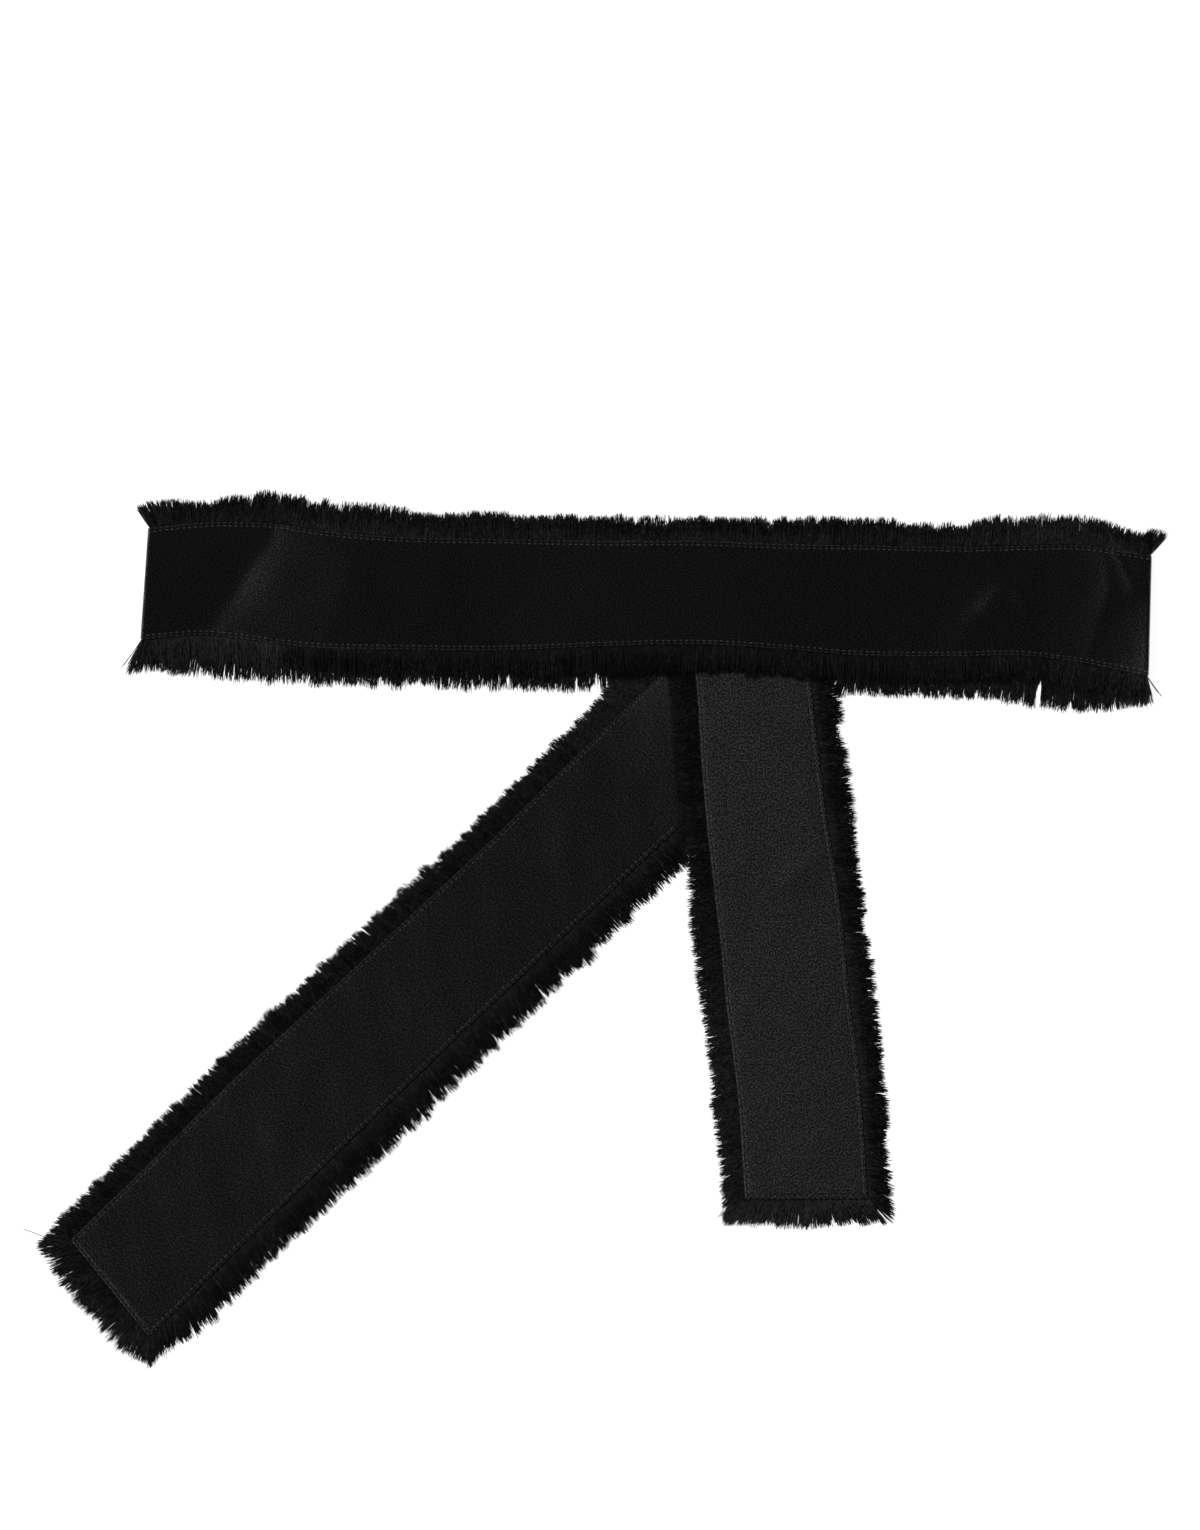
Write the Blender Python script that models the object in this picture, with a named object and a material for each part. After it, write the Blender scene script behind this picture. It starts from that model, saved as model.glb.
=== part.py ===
"""A black satin tie belt with a fringe sewn into its edges, laid flat.

One long strip is folded into a flat loop. Its front stretch lies on top and turns round a fold at
each end, its back stretches lie on the ground below, and its two ends come out from under the front
as tails, the right one over the left one. Where the strip turns out of sight below the front, its
folded layers are one rounded solid. The fringe is a row of locks on a narrow strip along each edge.

The sizes and tables are in millimetres and degrees, and the meshes in metres with Z up. X runs along
the front, the tails point to -Y and the ground is z = 0. Each stretch has its own frame: it starts at
a place, runs forward along its heading, and its side axis points to its left.
"""

import math
from collections import namedtuple

import bmesh
import bpy
from mathutils import Matrix, Vector

MM = 0.001

# The cloth: two plies of satin with the seam allowance between them.
WALL = 1.2
EDGE_WALL = 0.7
SEAM_GAP = 0.3
STATION_STEP = 11.0
COLUMNS = (-1.0, -0.9, -0.5, 0.0, 0.5, 0.9, 1.0)
SEWN_COLUMN = 0.95
SHARP_ANGLE = 50.0

# The two folds that join the front to the back.
FOLD_STEPS = 6
FOLD_RETURN = 7.0

# The fringe: its backing strip, and the locks that stand on it.
STRIP_DEPTH = 1.5
STRIP_WALL = 0.8
GROUND_CLEARANCE = 0.25
LOCK_SHARE = 0.88
TIP_WALL = 0.6
LENGTH_WAVE = 0.05
LENGTH_WAVE_STEP = 2.4
EDGE_STEP = 0.5

# The layers of the hidden crossing, and the grooves between them.
LAYERS = 3
LAYER_STEP_IN = 1.2
GROOVE = 0.3
GROOVE_DEPTH = 1.0
CROWN = 0.3
CROWN_SHARE = 0.6

# The middle of the outline, which becomes the origin.
OUTLINE_MIDDLE = (-0.1, -1.65)

# A section of a stretch: how far along it lies, how far its middle is off the stretch's line, its
# width, how far its left edge is ahead of its right one, and the height of the cloth's underside.
Section = namedtuple("Section", "along drift width skew lift")
Stretch = namedtuple("Stretch", "start heading sections")

# A soft ridge: where its middle is (the side as a share of the half width), the way it runs, its
# half length, its half breadth and its height.
Ridge = namedtuple("Ridge", "along side turn length breadth height")

# A part of a fringe: its place along the edge, how far the threads reach beyond the cloth, how far
# they lean forward, and a lock's width at its tip as a share of its width at its root.
Tuft = namedtuple("Tuft", "along reach lean flare")

# The height of the crossing's top at a place along it.
Top = namedtuple("Top", "along height")

# A cut through a piece of cloth at one station: its place, the height of the middle of the wall, and
# the tilt of its outer side from straight up towards the stretch's forward end.
Station = namedtuple("Station", "along height tilt")

FRONT = Stretch((0.0, 0.0), 0.0, (
    Section(-196.2, 147.7, 48.6, 3.4, 3.2),
    Section(-172.0, 149.9, 48.8, 3.0, 3.1),
    Section(-155.0, 149.4, 50.3, 2.6, 2.9),
    Section(-137.8, 147.7, 51.8, 2.0, 2.7),
    Section(-120.6, 145.4, 50.7, 1.2, 2.4),
    Section(-86.0, 143.7, 48.8, 0.0, 2.1),
    Section(-43.0, 143.1, 48.3, 0.0, 2.2),
    Section(0.0, 143.5, 45.8, 0.0, 4.0),
    Section(43.0, 143.9, 44.9, 0.0, 4.9),
    Section(77.0, 142.3, 45.6, 0.0, 4.9),
    Section(111.6, 140.7, 47.9, 0.0, 3.8),
    Section(154.6, 140.1, 47.4, 0.0, 2.4),
    Section(180.4, 140.6, 47.7, 0.4, 2.2),
    Section(206.2, 139.2, 50.8, 0.8, 2.7),
    Section(223.4, 136.3, 51.6, 1.1, 3.1),
    Section(236.4, 133.9, 52.5, 1.3, 3.2),
))
FRONT_RIDGES = (
    Ridge(-153.0, 0.0, 60.0, 20.0, 6.0, 1.1),
    Ridge(-112.0, 0.1, 72.0, 14.0, 5.0, 0.4),
    Ridge(28.0, 0.1, 2.0, 60.0, 8.0, 0.6),
    Ridge(165.0, -0.4, 52.0, 11.0, 3.5, 0.6),
    Ridge(182.0, 0.1, 8.0, 10.0, 3.5, 0.4),
    Ridge(210.0, 0.0, 88.0, 18.0, 4.0, 0.7),
    Ridge(226.0, 0.75, -30.0, 6.0, 3.0, 0.5),
)

BACK_LEFT = Stretch((0.0, 0.0), 0.0, (
    Section(-186.4, 147.2, 49.0, 3.2, 0.0),
    Section(-172.0, 145.4, 49.8, 2.0, 0.0),
    Section(-137.8, 143.6, 50.5, 0.0, 0.0),
    Section(-94.8, 142.5, 50.7, 0.0, 0.0),
    Section(-51.8, 141.6, 51.0, 0.0, 0.0),
    Section(-17.4, 140.8, 51.4, 0.0, 0.0),
    Section(15.5, 140.5, 51.6, 0.0, 0.0),
))
BACK_RIGHT = Stretch((0.0, 0.0), 0.0, (
    Section(104.3, 137.6, 51.9, 0.0, 0.0),
    Section(128.8, 137.5, 52.0, 0.0, 0.0),
    Section(165.3, 136.3, 52.0, 0.0, 0.0),
    Section(189.0, 133.4, 51.8, 0.0, 0.0),
    Section(206.2, 131.6, 52.0, 0.4, 0.0),
    Section(219.0, 131.6, 52.2, 0.8, 0.0),
    Section(226.6, 132.8, 52.4, 1.2, 0.0),
))

CROSSING = Stretch((0.0, 0.0), 0.0, (
    Section(15.8, 140.5, 51.4, 0.0, 0.0),
    Section(38.0, 140.2, 51.2, 0.0, 0.0),
    Section(80.0, 139.0, 51.0, 0.0, 0.0),
    Section(104.0, 137.6, 51.8, 0.0, 0.0),
))
CROSSING_TOP = (
    Top(15.8, 1.3),
    Top(24.0, 3.0),
    Top(38.0, 4.2),
    Top(80.0, 4.2),
    Top(94.0, 3.0),
    Top(104.0, 1.3),
)

TAIL_LEFT = Stretch((47.2, 92.9), 223.8, (
    Section(-25.3, 0.2, 54.0, -45.5, 0.0),
    Section(20.0, 0.2, 53.8, -14.0, 0.0),
    Section(60.0, 0.1, 53.0, -3.0, 0.0),
    Section(105.0, 0.4, 52.0, 0.0, 0.0),
    Section(170.0, -0.2, 52.4, 0.0, 0.0),
    Section(220.0, -0.6, 53.4, 0.0, 0.0),
    Section(260.0, -0.8, 54.2, 0.4, 0.0),
    Section(310.0, -0.2, 53.6, 2.4, 0.0),
    Section(358.6, 0.4, 54.0, 4.6, 0.0),
))
TAIL_LEFT_RIDGES = (
    Ridge(70.0, -0.4, 25.0, 26.0, 8.0, 0.5),
    Ridge(150.0, 0.3, -12.0, 34.0, 9.0, 0.4),
    Ridge(236.0, -0.2, 16.0, 30.0, 8.0, 0.4),
    Ridge(318.0, 0.2, -20.0, 22.0, 8.0, 0.5),
)

TAIL_RIGHT = Stretch((64.9, 113.9), -84.2, (
    Section(1.4, 0.0, 49.2, 5.2, 1.7),
    Section(16.0, 0.0, 49.6, 5.2, 1.5),
    Section(42.0, -0.4, 50.9, 5.2, 1.5),
    Section(68.0, -0.3, 52.0, 5.2, 1.5),
    Section(84.0, 0.3, 53.0, 5.2, 1.45),
    Section(104.0, 0.8, 53.6, 5.2, 0.5),
    Section(122.0, 1.1, 53.5, 5.2, 0.0),
    Section(150.0, 1.0, 53.7, 5.2, 0.0),
    Section(172.0, 1.8, 53.9, 5.2, 0.0),
    Section(194.0, 1.6, 53.2, 5.2, 0.0),
    Section(232.4, 0.2, 53.2, 5.2, 0.0),
))
TAIL_RIGHT_RIDGES = (
    Ridge(38.0, 0.3, 70.0, 18.0, 6.0, 0.4),
    Ridge(88.0, 0.2, 62.0, 22.0, 6.0, 0.5),
    Ridge(150.0, -0.1, 74.0, 20.0, 8.0, 0.4),
    Ridge(206.0, 0.2, -66.0, 16.0, 7.0, 0.4),
)

SATIN_COLOUR = (0.012, 0.012, 0.0125, 1.0)
SATIN_ROUGHNESS = 0.38
THREAD_COLOUR = (0.009, 0.009, 0.0095, 1.0)
THREAD_ROUGHNESS = 0.6


def smooth_row(rows, along):
    """The row of a table at any distance, on a smooth curve through its rows."""
    last = len(rows) - 1
    along = min(max(along, rows[0].along), rows[last].along)
    low = max(index for index in range(last) if index == 0 or rows[index].along <= along)
    before, start, stop, after = (rows[min(max(low + step, 0), last)] for step in (-1, 0, 1, 2))
    gap = stop.along - start.along
    share = (along - start.along) / gap
    values = []
    for was, first, second, later in zip(before, start, stop, after):
        enter = (second - was) / (stop.along - before.along) * gap
        leave = (later - first) / (after.along - start.along) * gap
        values.append(
            first
            + share * enter
            + share**2 * (3 * (second - first) - 2 * enter - leave)
            + share**3 * (2 * (first - second) + enter + leave)
        )
    return type(start)(*values)


def lift_at(stretch, along):
    """The height of the cloth's underside, never below the ground."""
    return max(0.0, smooth_row(stretch.sections, along).lift)


def plan(stretch, along, across):
    """A point of a stretch in its own plane, across being 1 at its left edge and -1 at its right."""
    section = smooth_row(stretch.sections, along)
    return Vector((along + across * section.skew / 2, section.drift + across * section.width / 2))


def relief(stretch, ridges, along, across):
    """How high the ridges lift the cloth at a point of a stretch."""
    here = plan(stretch, along, across)
    height = 0.0
    for ridge in ridges:
        way = here - plan(stretch, ridge.along, ridge.side)
        turned = Matrix.Rotation(-math.radians(ridge.turn), 2) @ way
        spread = (turned.x / ridge.length) ** 2 + (turned.y / ridge.breadth) ** 2
        height += ridge.height * math.exp(-spread)
    return height


def mesh_object(name, stretch, finish, vertices, faces, smooth):
    """An object in the frame of its stretch, from vertices in millimetres."""
    shape = bmesh.new()
    points = [shape.verts.new(Vector(vertex) * MM) for vertex in vertices]
    for face in faces:
        shape.faces.new([points[index] for index in face])
    bmesh.ops.recalc_face_normals(shape, faces=shape.faces)
    mesh = bpy.data.meshes.new(name)
    shape.to_mesh(mesh)
    shape.free()
    if smooth:
        mesh.shade_smooth()
        mesh.set_sharp_from_angle(angle=math.radians(SHARP_ANGLE))
    mesh.materials.append(finish(name))
    piece = bpy.data.objects.new(name, mesh)
    piece.location = (stretch.start[0] * MM, stretch.start[1] * MM, 0.0)
    piece.rotation_euler.z = math.radians(stretch.heading)
    piece.parent = bpy.data.objects["tie_belt"]
    bpy.context.collection.objects.link(piece)
    return piece


def dyed_material(name, colour, roughness):
    """A plain cloth finish."""
    material = bpy.data.materials.new(name)
    material.use_nodes = True
    shader = material.node_tree.nodes["Principled BSDF"]
    shader.inputs["Base Color"].default_value = colour
    shader.inputs["Roughness"].default_value = roughness
    shader.inputs["Metallic"].default_value = 0.0
    return material


def satin(name):
    """The belt's own cloth."""
    return dyed_material(name, SATIN_COLOUR, SATIN_ROUGHNESS)


def thread(name):
    """The fringe's thread."""
    return dyed_material(name, THREAD_COLOUR, THREAD_ROUGHNESS)


def even_steps(start, stop, step):
    """Evenly spaced values from start to stop, at most a step apart."""
    count = math.ceil((stop - start) / step)
    return [start + (stop - start) * index / count for index in range(count + 1)]


def fold(stretch, edge, facing):
    """The stations of a fold whose outside is at a distance along, from the top down to its return."""
    radius = lift_at(stretch, edge) / 2
    middle = edge - facing * (radius + WALL / 2)
    stations = []
    for index in range(FOLD_STEPS + 1):
        tilt = math.pi * index / FOLD_STEPS
        along = middle + facing * radius * math.sin(tilt)
        height = WALL / 2 + radius + radius * math.cos(tilt)
        stations.append(Station(along, height, facing * tilt))
    stations.append(Station(middle - facing * FOLD_RETURN, WALL / 2, facing * math.pi))
    return stations


def front_stations():
    """The stations of the front, from the end of its left fold to the end of its right fold."""
    left = fold(FRONT, FRONT.sections[0].along, -1)
    right = fold(FRONT, FRONT.sections[-1].along, 1)
    flat = even_steps(left[0].along, right[0].along, STATION_STEP)[1:-1]
    top = [Station(along, lift_at(FRONT, along) + WALL / 2, 0.0) for along in flat]
    return left[::-1] + top + right


def lying_stations(stretch):
    """The stations of a stretch that has no fold."""
    places = even_steps(stretch.sections[0].along, stretch.sections[-1].along, STATION_STEP)
    return [Station(along, lift_at(stretch, along) + WALL / 2, 0.0) for along in places]


def cloth(name, stretch, stations, ridges, raise_inside):
    """A wall of cloth through its stations, thinner at its sewn edges.

    The ridges raise its outer side, and its inner side too where the cloth lies clear of the ground.
    """
    rows = len(stations)
    columns = len(COLUMNS)
    outer, inner = [], []
    for station in stations:
        flat_share = max(0.0, math.cos(station.tilt))
        normal = Vector((math.sin(station.tilt), 0.0, math.cos(station.tilt)))
        for across in COLUMNS:
            place = plan(stretch, station.along, across)
            rise = relief(stretch, ridges, station.along, across) * flat_share
            wall = EDGE_WALL if abs(across) > SEWN_COLUMN else WALL
            inside = Vector((place.x, place.y, station.height)) - normal * WALL / 2
            lifted = Vector((0.0, 0.0, rise))
            inner.append(inside + lifted * raise_inside)
            outer.append(inside + normal * wall + lifted)
    faces = []
    size = rows * columns
    for row in range(rows - 1):
        for column in range(columns - 1):
            corner = row * columns + column
            square = (corner, corner + 1, corner + columns + 1, corner + columns)
            faces.append(square)
            faces.append(tuple(index + size for index in square))
        for corner in (row * columns, (row + 1) * columns - 1):
            faces.append((corner, corner + columns, corner + columns + size, corner + size))
    for start in (0, size - columns):
        for corner in range(start, start + columns - 1):
            faces.append((corner, corner + 1, corner + 1 + size, corner + size))
    return mesh_object(name, stretch, satin, outer + inner, faces, smooth=True)


def crossing(name, stretch, tops):
    """The folded layers below the front, as one solid whose sides show the layers."""
    full = max(top.height for top in tops)
    rings = []
    for along in even_steps(tops[0].along, tops[-1].along, STATION_STEP / 2):
        section = smooth_row(stretch.sections, along)
        height = smooth_row(tops, along).height
        layer = height / LAYERS
        groove = GROOVE * height / full
        side = []
        for index in range(LAYERS):
            reach = section.width / 2 - LAYER_STEP_IN * index
            side.append((reach, index * layer))
            side.append((reach, (index + 1) * layer - groove))
            if index < LAYERS - 1:
                side.append((reach - LAYER_STEP_IN - GROOVE_DEPTH, (index + 1) * layer - groove / 2))
        side.append((reach * CROWN_SHARE, height + CROWN * height / full))
        rings.append([
            Vector((along, section.drift + way * reach, height))
            for way, half in ((1, side), (-1, side[::-1]))
            for reach, height in half
        ])
    count = len(rings[0])
    vertices = [point for ring in rings for point in ring]
    faces = []
    for row in range(len(rings) - 1):
        for column in range(count):
            corner = row * count + column
            beside = row * count + (column + 1) % count
            faces.append((corner, beside, beside + count, corner + count))
    for start in (0, (len(rings) - 1) * count):
        for step in range(count // 2 - 1):
            far = start + count - 1 - step
            faces.append((start + step, start + step + 1, far - 1, far))
    return mesh_object(name, stretch, satin, vertices, faces, smooth=False)


def side_edge(stretch, side, ridges=()):
    """The edge of a stretch as a function: 1 is its left side and -1 its right side."""
    def point(along):
        place = plan(stretch, along, side)
        return Vector((place.x, place.y, lift_at(stretch, along) + relief(stretch, ridges, along, side)))
    return point


def end_edge(stretch):
    """The far end of a stretch as a function of the distance to the left of its middle."""
    end = stretch.sections[-1]

    def point(offset):
        place = plan(stretch, end.along, 2 * offset / end.width)
        return Vector((place.x, place.y, end.lift))
    return point


def lock_spans(tufts, count):
    """Where each lock starts and stops along an edge."""
    pitch = (tufts[-1].along - tufts[0].along) / count
    margin = pitch * (1 - LOCK_SHARE) / 2
    starts = [tufts[0].along + pitch * index + margin for index in range(count)]
    return [(start, start + pitch * LOCK_SHARE) for start in starts]


def fringe(name, stretch, edge, outward, tufts, count, drop=0.0, tip_height=GROUND_CLEARANCE):
    """Locks on a backing strip that runs beside an edge, parted from the cloth.

    outward is 1 where the strip is to the left of its edge and -1 where it is to the right. drop is
    how far the locks fall from the strip to their tips, which stay above tip_height.
    """
    def frame(along):
        ahead, behind = edge(along + EDGE_STEP), edge(along - EDGE_STEP)
        way = Vector((ahead.x - behind.x, ahead.y - behind.y, 0.0)).normalized()
        return way, Vector((-way.y, way.x, 0.0)) * outward

    vertices, faces = [], []
    spans = lock_spans(tufts, count)
    for station in (along for span in spans for along in span):
        _, out = frame(station)
        root = edge(station) + Vector((0.0, 0.0, GROUND_CLEARANCE))
        for depth, height in ((0.0, 0.0), (0.0, STRIP_WALL), (STRIP_DEPTH, STRIP_WALL), (STRIP_DEPTH, 0.0)):
            vertices.append(root + out * (SEAM_GAP + depth) + Vector((0.0, 0.0, height)))
    last = 4 * (2 * count - 1)
    faces += [(0, 1, 2, 3), (last, last + 1, last + 2, last + 3)]
    for index in range(2 * count - 1):
        near, far = 4 * index, 4 * index + 4
        faces += [
            (near, near + 1, far + 1, far),
            (near + 1, near + 2, far + 2, far + 1),
            (near + 3, near, far, far + 3),
        ]
        if index % 2:
            faces.append((near + 2, near + 3, far + 3, far + 2))
            continue
        roots = (near + 2, near + 3, far + 3, far + 2)
        middle = sum((vertices[root] for root in roots), Vector()) / 4
        along = sum(spans[index // 2]) / 2
        tuft = smooth_row(tufts, along)
        way, out = frame(along)
        wave = 1 + LENGTH_WAVE * math.sin(LENGTH_WAVE_STEP * index)
        reach = tuft.reach * wave - SEAM_GAP - STRIP_DEPTH
        lean = math.radians(tuft.lean)
        tip = middle + reach * (math.cos(lean) * out + math.sin(lean) * way)
        tip.z = max(middle.z - drop, tip_height + TIP_WALL / 2)
        first = len(vertices)
        for root, rise in zip(roots, (1, -1, -1, 1)):
            spread = (vertices[root] - middle) * tuft.flare
            vertices.append(Vector((tip.x + spread.x, tip.y + spread.y, tip.z + rise * TIP_WALL / 2)))
        faces.append(tuple(range(first, first + 4)))
        for step in range(4):
            beside = (step + 1) % 4
            faces.append((roots[step], roots[beside], first + beside, first + step))
    return mesh_object(name, stretch, thread, vertices, faces, smooth=False)


def front_fringes():
    """The fringes of the front's upper and lower edges, which droop over what lies below them."""
    fringe("fringe_front_top", FRONT, side_edge(FRONT, 1, FRONT_RIDGES), 1, (
        Tuft(-194.5, 11.8, -24.0, 1.15),
        Tuft(-178.0, 10.0, -3.0, 0.94),
        Tuft(-150.0, 12.2, 3.0, 0.94),
        Tuft(-104.0, 12.8, 0.0, 0.94),
        Tuft(-62.0, 11.4, -3.0, 0.94),
        Tuft(-26.0, 10.8, 0.0, 0.94),
        Tuft(14.0, 9.0, 0.0, 0.94),
        Tuft(46.0, 9.4, 0.0, 0.94),
        Tuft(66.0, 8.8, 0.0, 0.94),
        Tuft(92.0, 11.4, 2.0, 0.94),
        Tuft(128.0, 9.8, 0.0, 0.94),
        Tuft(150.0, 8.6, 0.0, 0.94),
        Tuft(172.0, 12.4, 0.0, 0.94),
        Tuft(212.0, 12.0, 4.0, 0.94),
        Tuft(235.6, 12.6, 34.0, 1.2),
    ), 38, drop=1.2, tip_height=2.4)
    fringe("fringe_front_bottom", FRONT, side_edge(FRONT, -1, FRONT_RIDGES), -1, (
        Tuft(-195.6, 18.4, -30.0, 1.15),
        Tuft(-180.0, 14.6, -8.0, 0.94),
        Tuft(-140.0, 14.4, 8.0, 0.94),
        Tuft(-90.0, 13.4, 0.0, 0.94),
        Tuft(40.0, 12.9, 0.0, 0.94),
        Tuft(206.0, 13.0, 0.0, 0.94),
        Tuft(235.6, 13.6, 8.0, 1.1),
    ), 38, drop=1.2, tip_height=1.5)


def back_fringes():
    """The fringes of the layers below the front, which lie on the ground."""
    fringe("fringe_back_left_top", BACK_LEFT, side_edge(BACK_LEFT, 1), 1, (
        Tuft(-184.0, 11.0, -6.0, 0.94),
        Tuft(14.0, 11.0, 0.0, 0.94),
    ), 14)
    fringe("fringe_back_left_bottom", BACK_LEFT, side_edge(BACK_LEFT, -1), -1, (
        Tuft(-184.0, 13.0, -10.0, 0.94),
        Tuft(-150.0, 13.0, 0.0, 0.94),
        Tuft(-1.0, 13.2, 0.0, 0.94),
    ), 14)
    fringe("fringe_back_right_top", BACK_RIGHT, side_edge(BACK_RIGHT, 1), 1, (
        Tuft(105.5, 11.0, 0.0, 0.94),
        Tuft(225.0, 11.0, 6.0, 0.94),
    ), 8)
    fringe("fringe_back_right_bottom", BACK_RIGHT, side_edge(BACK_RIGHT, -1), -1, (
        Tuft(105.5, 12.9, 0.0, 0.94),
        Tuft(190.0, 13.2, 0.0, 0.94),
        Tuft(226.0, 13.8, 22.0, 1.15),
    ), 10)
    fringe("fringe_crossing", CROSSING, side_edge(CROSSING, 1), 1, (
        Tuft(17.0, 11.0, 0.0, 0.94),
        Tuft(103.0, 11.0, 0.0, 0.94),
    ), 6)


def tail_fringes():
    """The fringes round both tails."""
    fringe("fringe_tail_left_outer", TAIL_LEFT, side_edge(TAIL_LEFT, -1), -1, (
        Tuft(-8.0, 15.0, 46.0, 0.76),
        Tuft(8.0, 15.0, 40.0, 0.76),
        Tuft(36.0, 10.0, 12.0, 0.8),
        Tuft(60.0, 10.9, 12.0, 0.94),
        Tuft(170.0, 10.6, 10.0, 0.94),
        Tuft(300.0, 10.6, 12.0, 0.94),
        Tuft(334.0, 10.6, 16.0, 0.94),
        Tuft(357.0, 13.2, 42.0, 1.25),
    ), 31)
    fringe("fringe_tail_left_inner", TAIL_LEFT, side_edge(TAIL_LEFT, 1), 1, (
        Tuft(-2.0, 14.6, 0.0, 0.94),
        Tuft(180.0, 15.6, 6.0, 0.94),
        Tuft(310.0, 14.8, 10.0, 0.94),
        Tuft(338.0, 14.6, 16.0, 0.94),
        Tuft(358.0, 16.0, 42.0, 1.25),
    ), 32)
    fringe("fringe_tail_left_end", TAIL_LEFT, end_edge(TAIL_LEFT), -1, (
        Tuft(-26.6, 16.2, -30.0, 1.2),
        Tuft(-12.0, 15.2, -8.0, 1.1),
        Tuft(0.0, 13.6, 0.0, 1.0),
        Tuft(26.6, 14.6, 30.0, 1.2),
    ), 5)
    fringe("fringe_tail_right_left", TAIL_RIGHT, side_edge(TAIL_RIGHT, -1), -1, (
        Tuft(4.0, 11.8, 4.0, 0.94),
        Tuft(120.0, 11.6, 6.0, 0.94),
        Tuft(208.0, 11.2, 10.0, 0.94),
        Tuft(231.0, 13.4, 42.0, 1.25),
    ), 20)
    fringe("fringe_tail_right_right", TAIL_RIGHT, side_edge(TAIL_RIGHT, 1), 1, (
        Tuft(4.0, 11.9, 4.0, 0.94),
        Tuft(120.0, 11.9, 8.0, 0.94),
        Tuft(206.0, 12.4, 8.0, 0.94),
        Tuft(230.0, 14.6, 38.0, 1.25),
    ), 20)
    fringe("fringe_tail_right_end", TAIL_RIGHT, end_edge(TAIL_RIGHT), -1, (
        Tuft(-26.2, 13.0, -32.0, 1.2),
        Tuft(0.0, 11.6, 0.0, 1.0),
        Tuft(26.2, 12.4, 32.0, 1.2),
    ), 5)


def clear_scene():
    """Remove what the scene holds."""
    for item in list(bpy.data.objects):
        bpy.data.objects.remove(item)


def build():
    """Lay out the whole belt."""
    clear_scene()
    belt = bpy.data.objects.new("tie_belt", None)
    belt.location = (-OUTLINE_MIDDLE[0] * MM, -OUTLINE_MIDDLE[1] * MM, 0.0)
    bpy.context.collection.objects.link(belt)
    cloth("band_front", FRONT, front_stations(), FRONT_RIDGES, raise_inside=1)
    cloth("band_back_left", BACK_LEFT, lying_stations(BACK_LEFT), (), raise_inside=0)
    cloth("band_back_right", BACK_RIGHT, lying_stations(BACK_RIGHT), (), raise_inside=0)
    crossing("crossing", CROSSING, CROSSING_TOP)
    cloth("tail_left", TAIL_LEFT, lying_stations(TAIL_LEFT), TAIL_LEFT_RIDGES, raise_inside=0)
    cloth("tail_right", TAIL_RIGHT, lying_stations(TAIL_RIGHT), TAIL_RIGHT_RIDGES, raise_inside=0)
    front_fringes()
    back_fringes()
    tail_fringes()


build()
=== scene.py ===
"""The looks of a black satin tie belt with a fringe along its edges, laid flat on a pale floor.

The sizes and tables are in millimetres and degrees. Each stretch of the strip has its own frame: it
starts at a place, runs forward along its heading, and its side axis points to its left. The stretches
have the sections of the solids that they stand for, except that the right tail starts 1.9 mm further
up. The fringes have finer tables than their solids.
"""

import math
from collections import namedtuple

import bpy
import numpy as np
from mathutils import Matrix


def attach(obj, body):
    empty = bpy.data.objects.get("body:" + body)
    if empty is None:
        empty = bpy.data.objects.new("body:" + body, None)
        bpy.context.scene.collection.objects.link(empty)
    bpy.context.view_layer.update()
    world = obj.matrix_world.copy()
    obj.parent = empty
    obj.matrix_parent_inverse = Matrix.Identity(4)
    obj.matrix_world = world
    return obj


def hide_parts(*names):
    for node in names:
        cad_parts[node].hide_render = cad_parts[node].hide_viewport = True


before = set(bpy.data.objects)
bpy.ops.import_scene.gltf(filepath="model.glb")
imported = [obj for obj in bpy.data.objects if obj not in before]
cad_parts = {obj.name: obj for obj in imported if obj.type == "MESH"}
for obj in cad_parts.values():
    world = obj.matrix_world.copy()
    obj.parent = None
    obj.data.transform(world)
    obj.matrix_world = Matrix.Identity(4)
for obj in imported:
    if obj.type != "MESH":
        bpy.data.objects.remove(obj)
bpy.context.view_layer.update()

MM = 0.001

# The middle of the belt's outline, which is the frame's origin.
OUTLINE_MIDDLE = np.array((-0.1, -1.65, 0.0))

# The photograph's frame: its size in pixels, the scale and the pixel that is the tables' zero.
PHOTO_WIDTH, PHOTO_HEIGHT = 1200, 1530
MM_PER_PIXEL = 0.43
ZERO_PIXEL = (600.5, 927.5)

# The cloth: two plies with the seam allowance between them, thin at the sewn edge and a little fuller
# inside the stitching.
WALL = 1.2
EDGE_WALL = 0.34
EDGE_ROLL = 0.9
PUFF = 0.04
PUFF_START = 2.0
PUFF_BREADTH = 3.5
GROUND_CLEARANCE = 0.06
# The underside follows the creases where it lies higher than this.
HOLLOW_START = 1.0

# The grid of a cloth: the distances of its outer columns from the edge, the number of columns between
# them and the distance from row to row. The weave's coordinates are in units of this many millimetres.
HEM_STEPS = (0.0, 0.1, 0.3, 0.55, 0.8, 1.1, 1.4, 1.65, 1.85, 2.05, 2.3, 2.6, 3.1, 3.9, 5.0)
BODY_COLUMNS = 22
STATION_STEP = 1.7
WEAVE_UNIT = 100

# The folds at the front's ends. A power under 1 makes them squarer than half a circle, as if pressed.
FOLD_STEPS = 22
FOLD_RETURN = 7.0
FOLD_POWER = 0.3

# A crease is rounded over a share of its breadth at its ridge line and fades towards its ends by a
# power. Its path is followed in this many steps for each of its places.
CREASE_ROUNDING = 0.14
CREASE_FADE = 0.6
CREASE_FINENESS = 10

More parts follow.
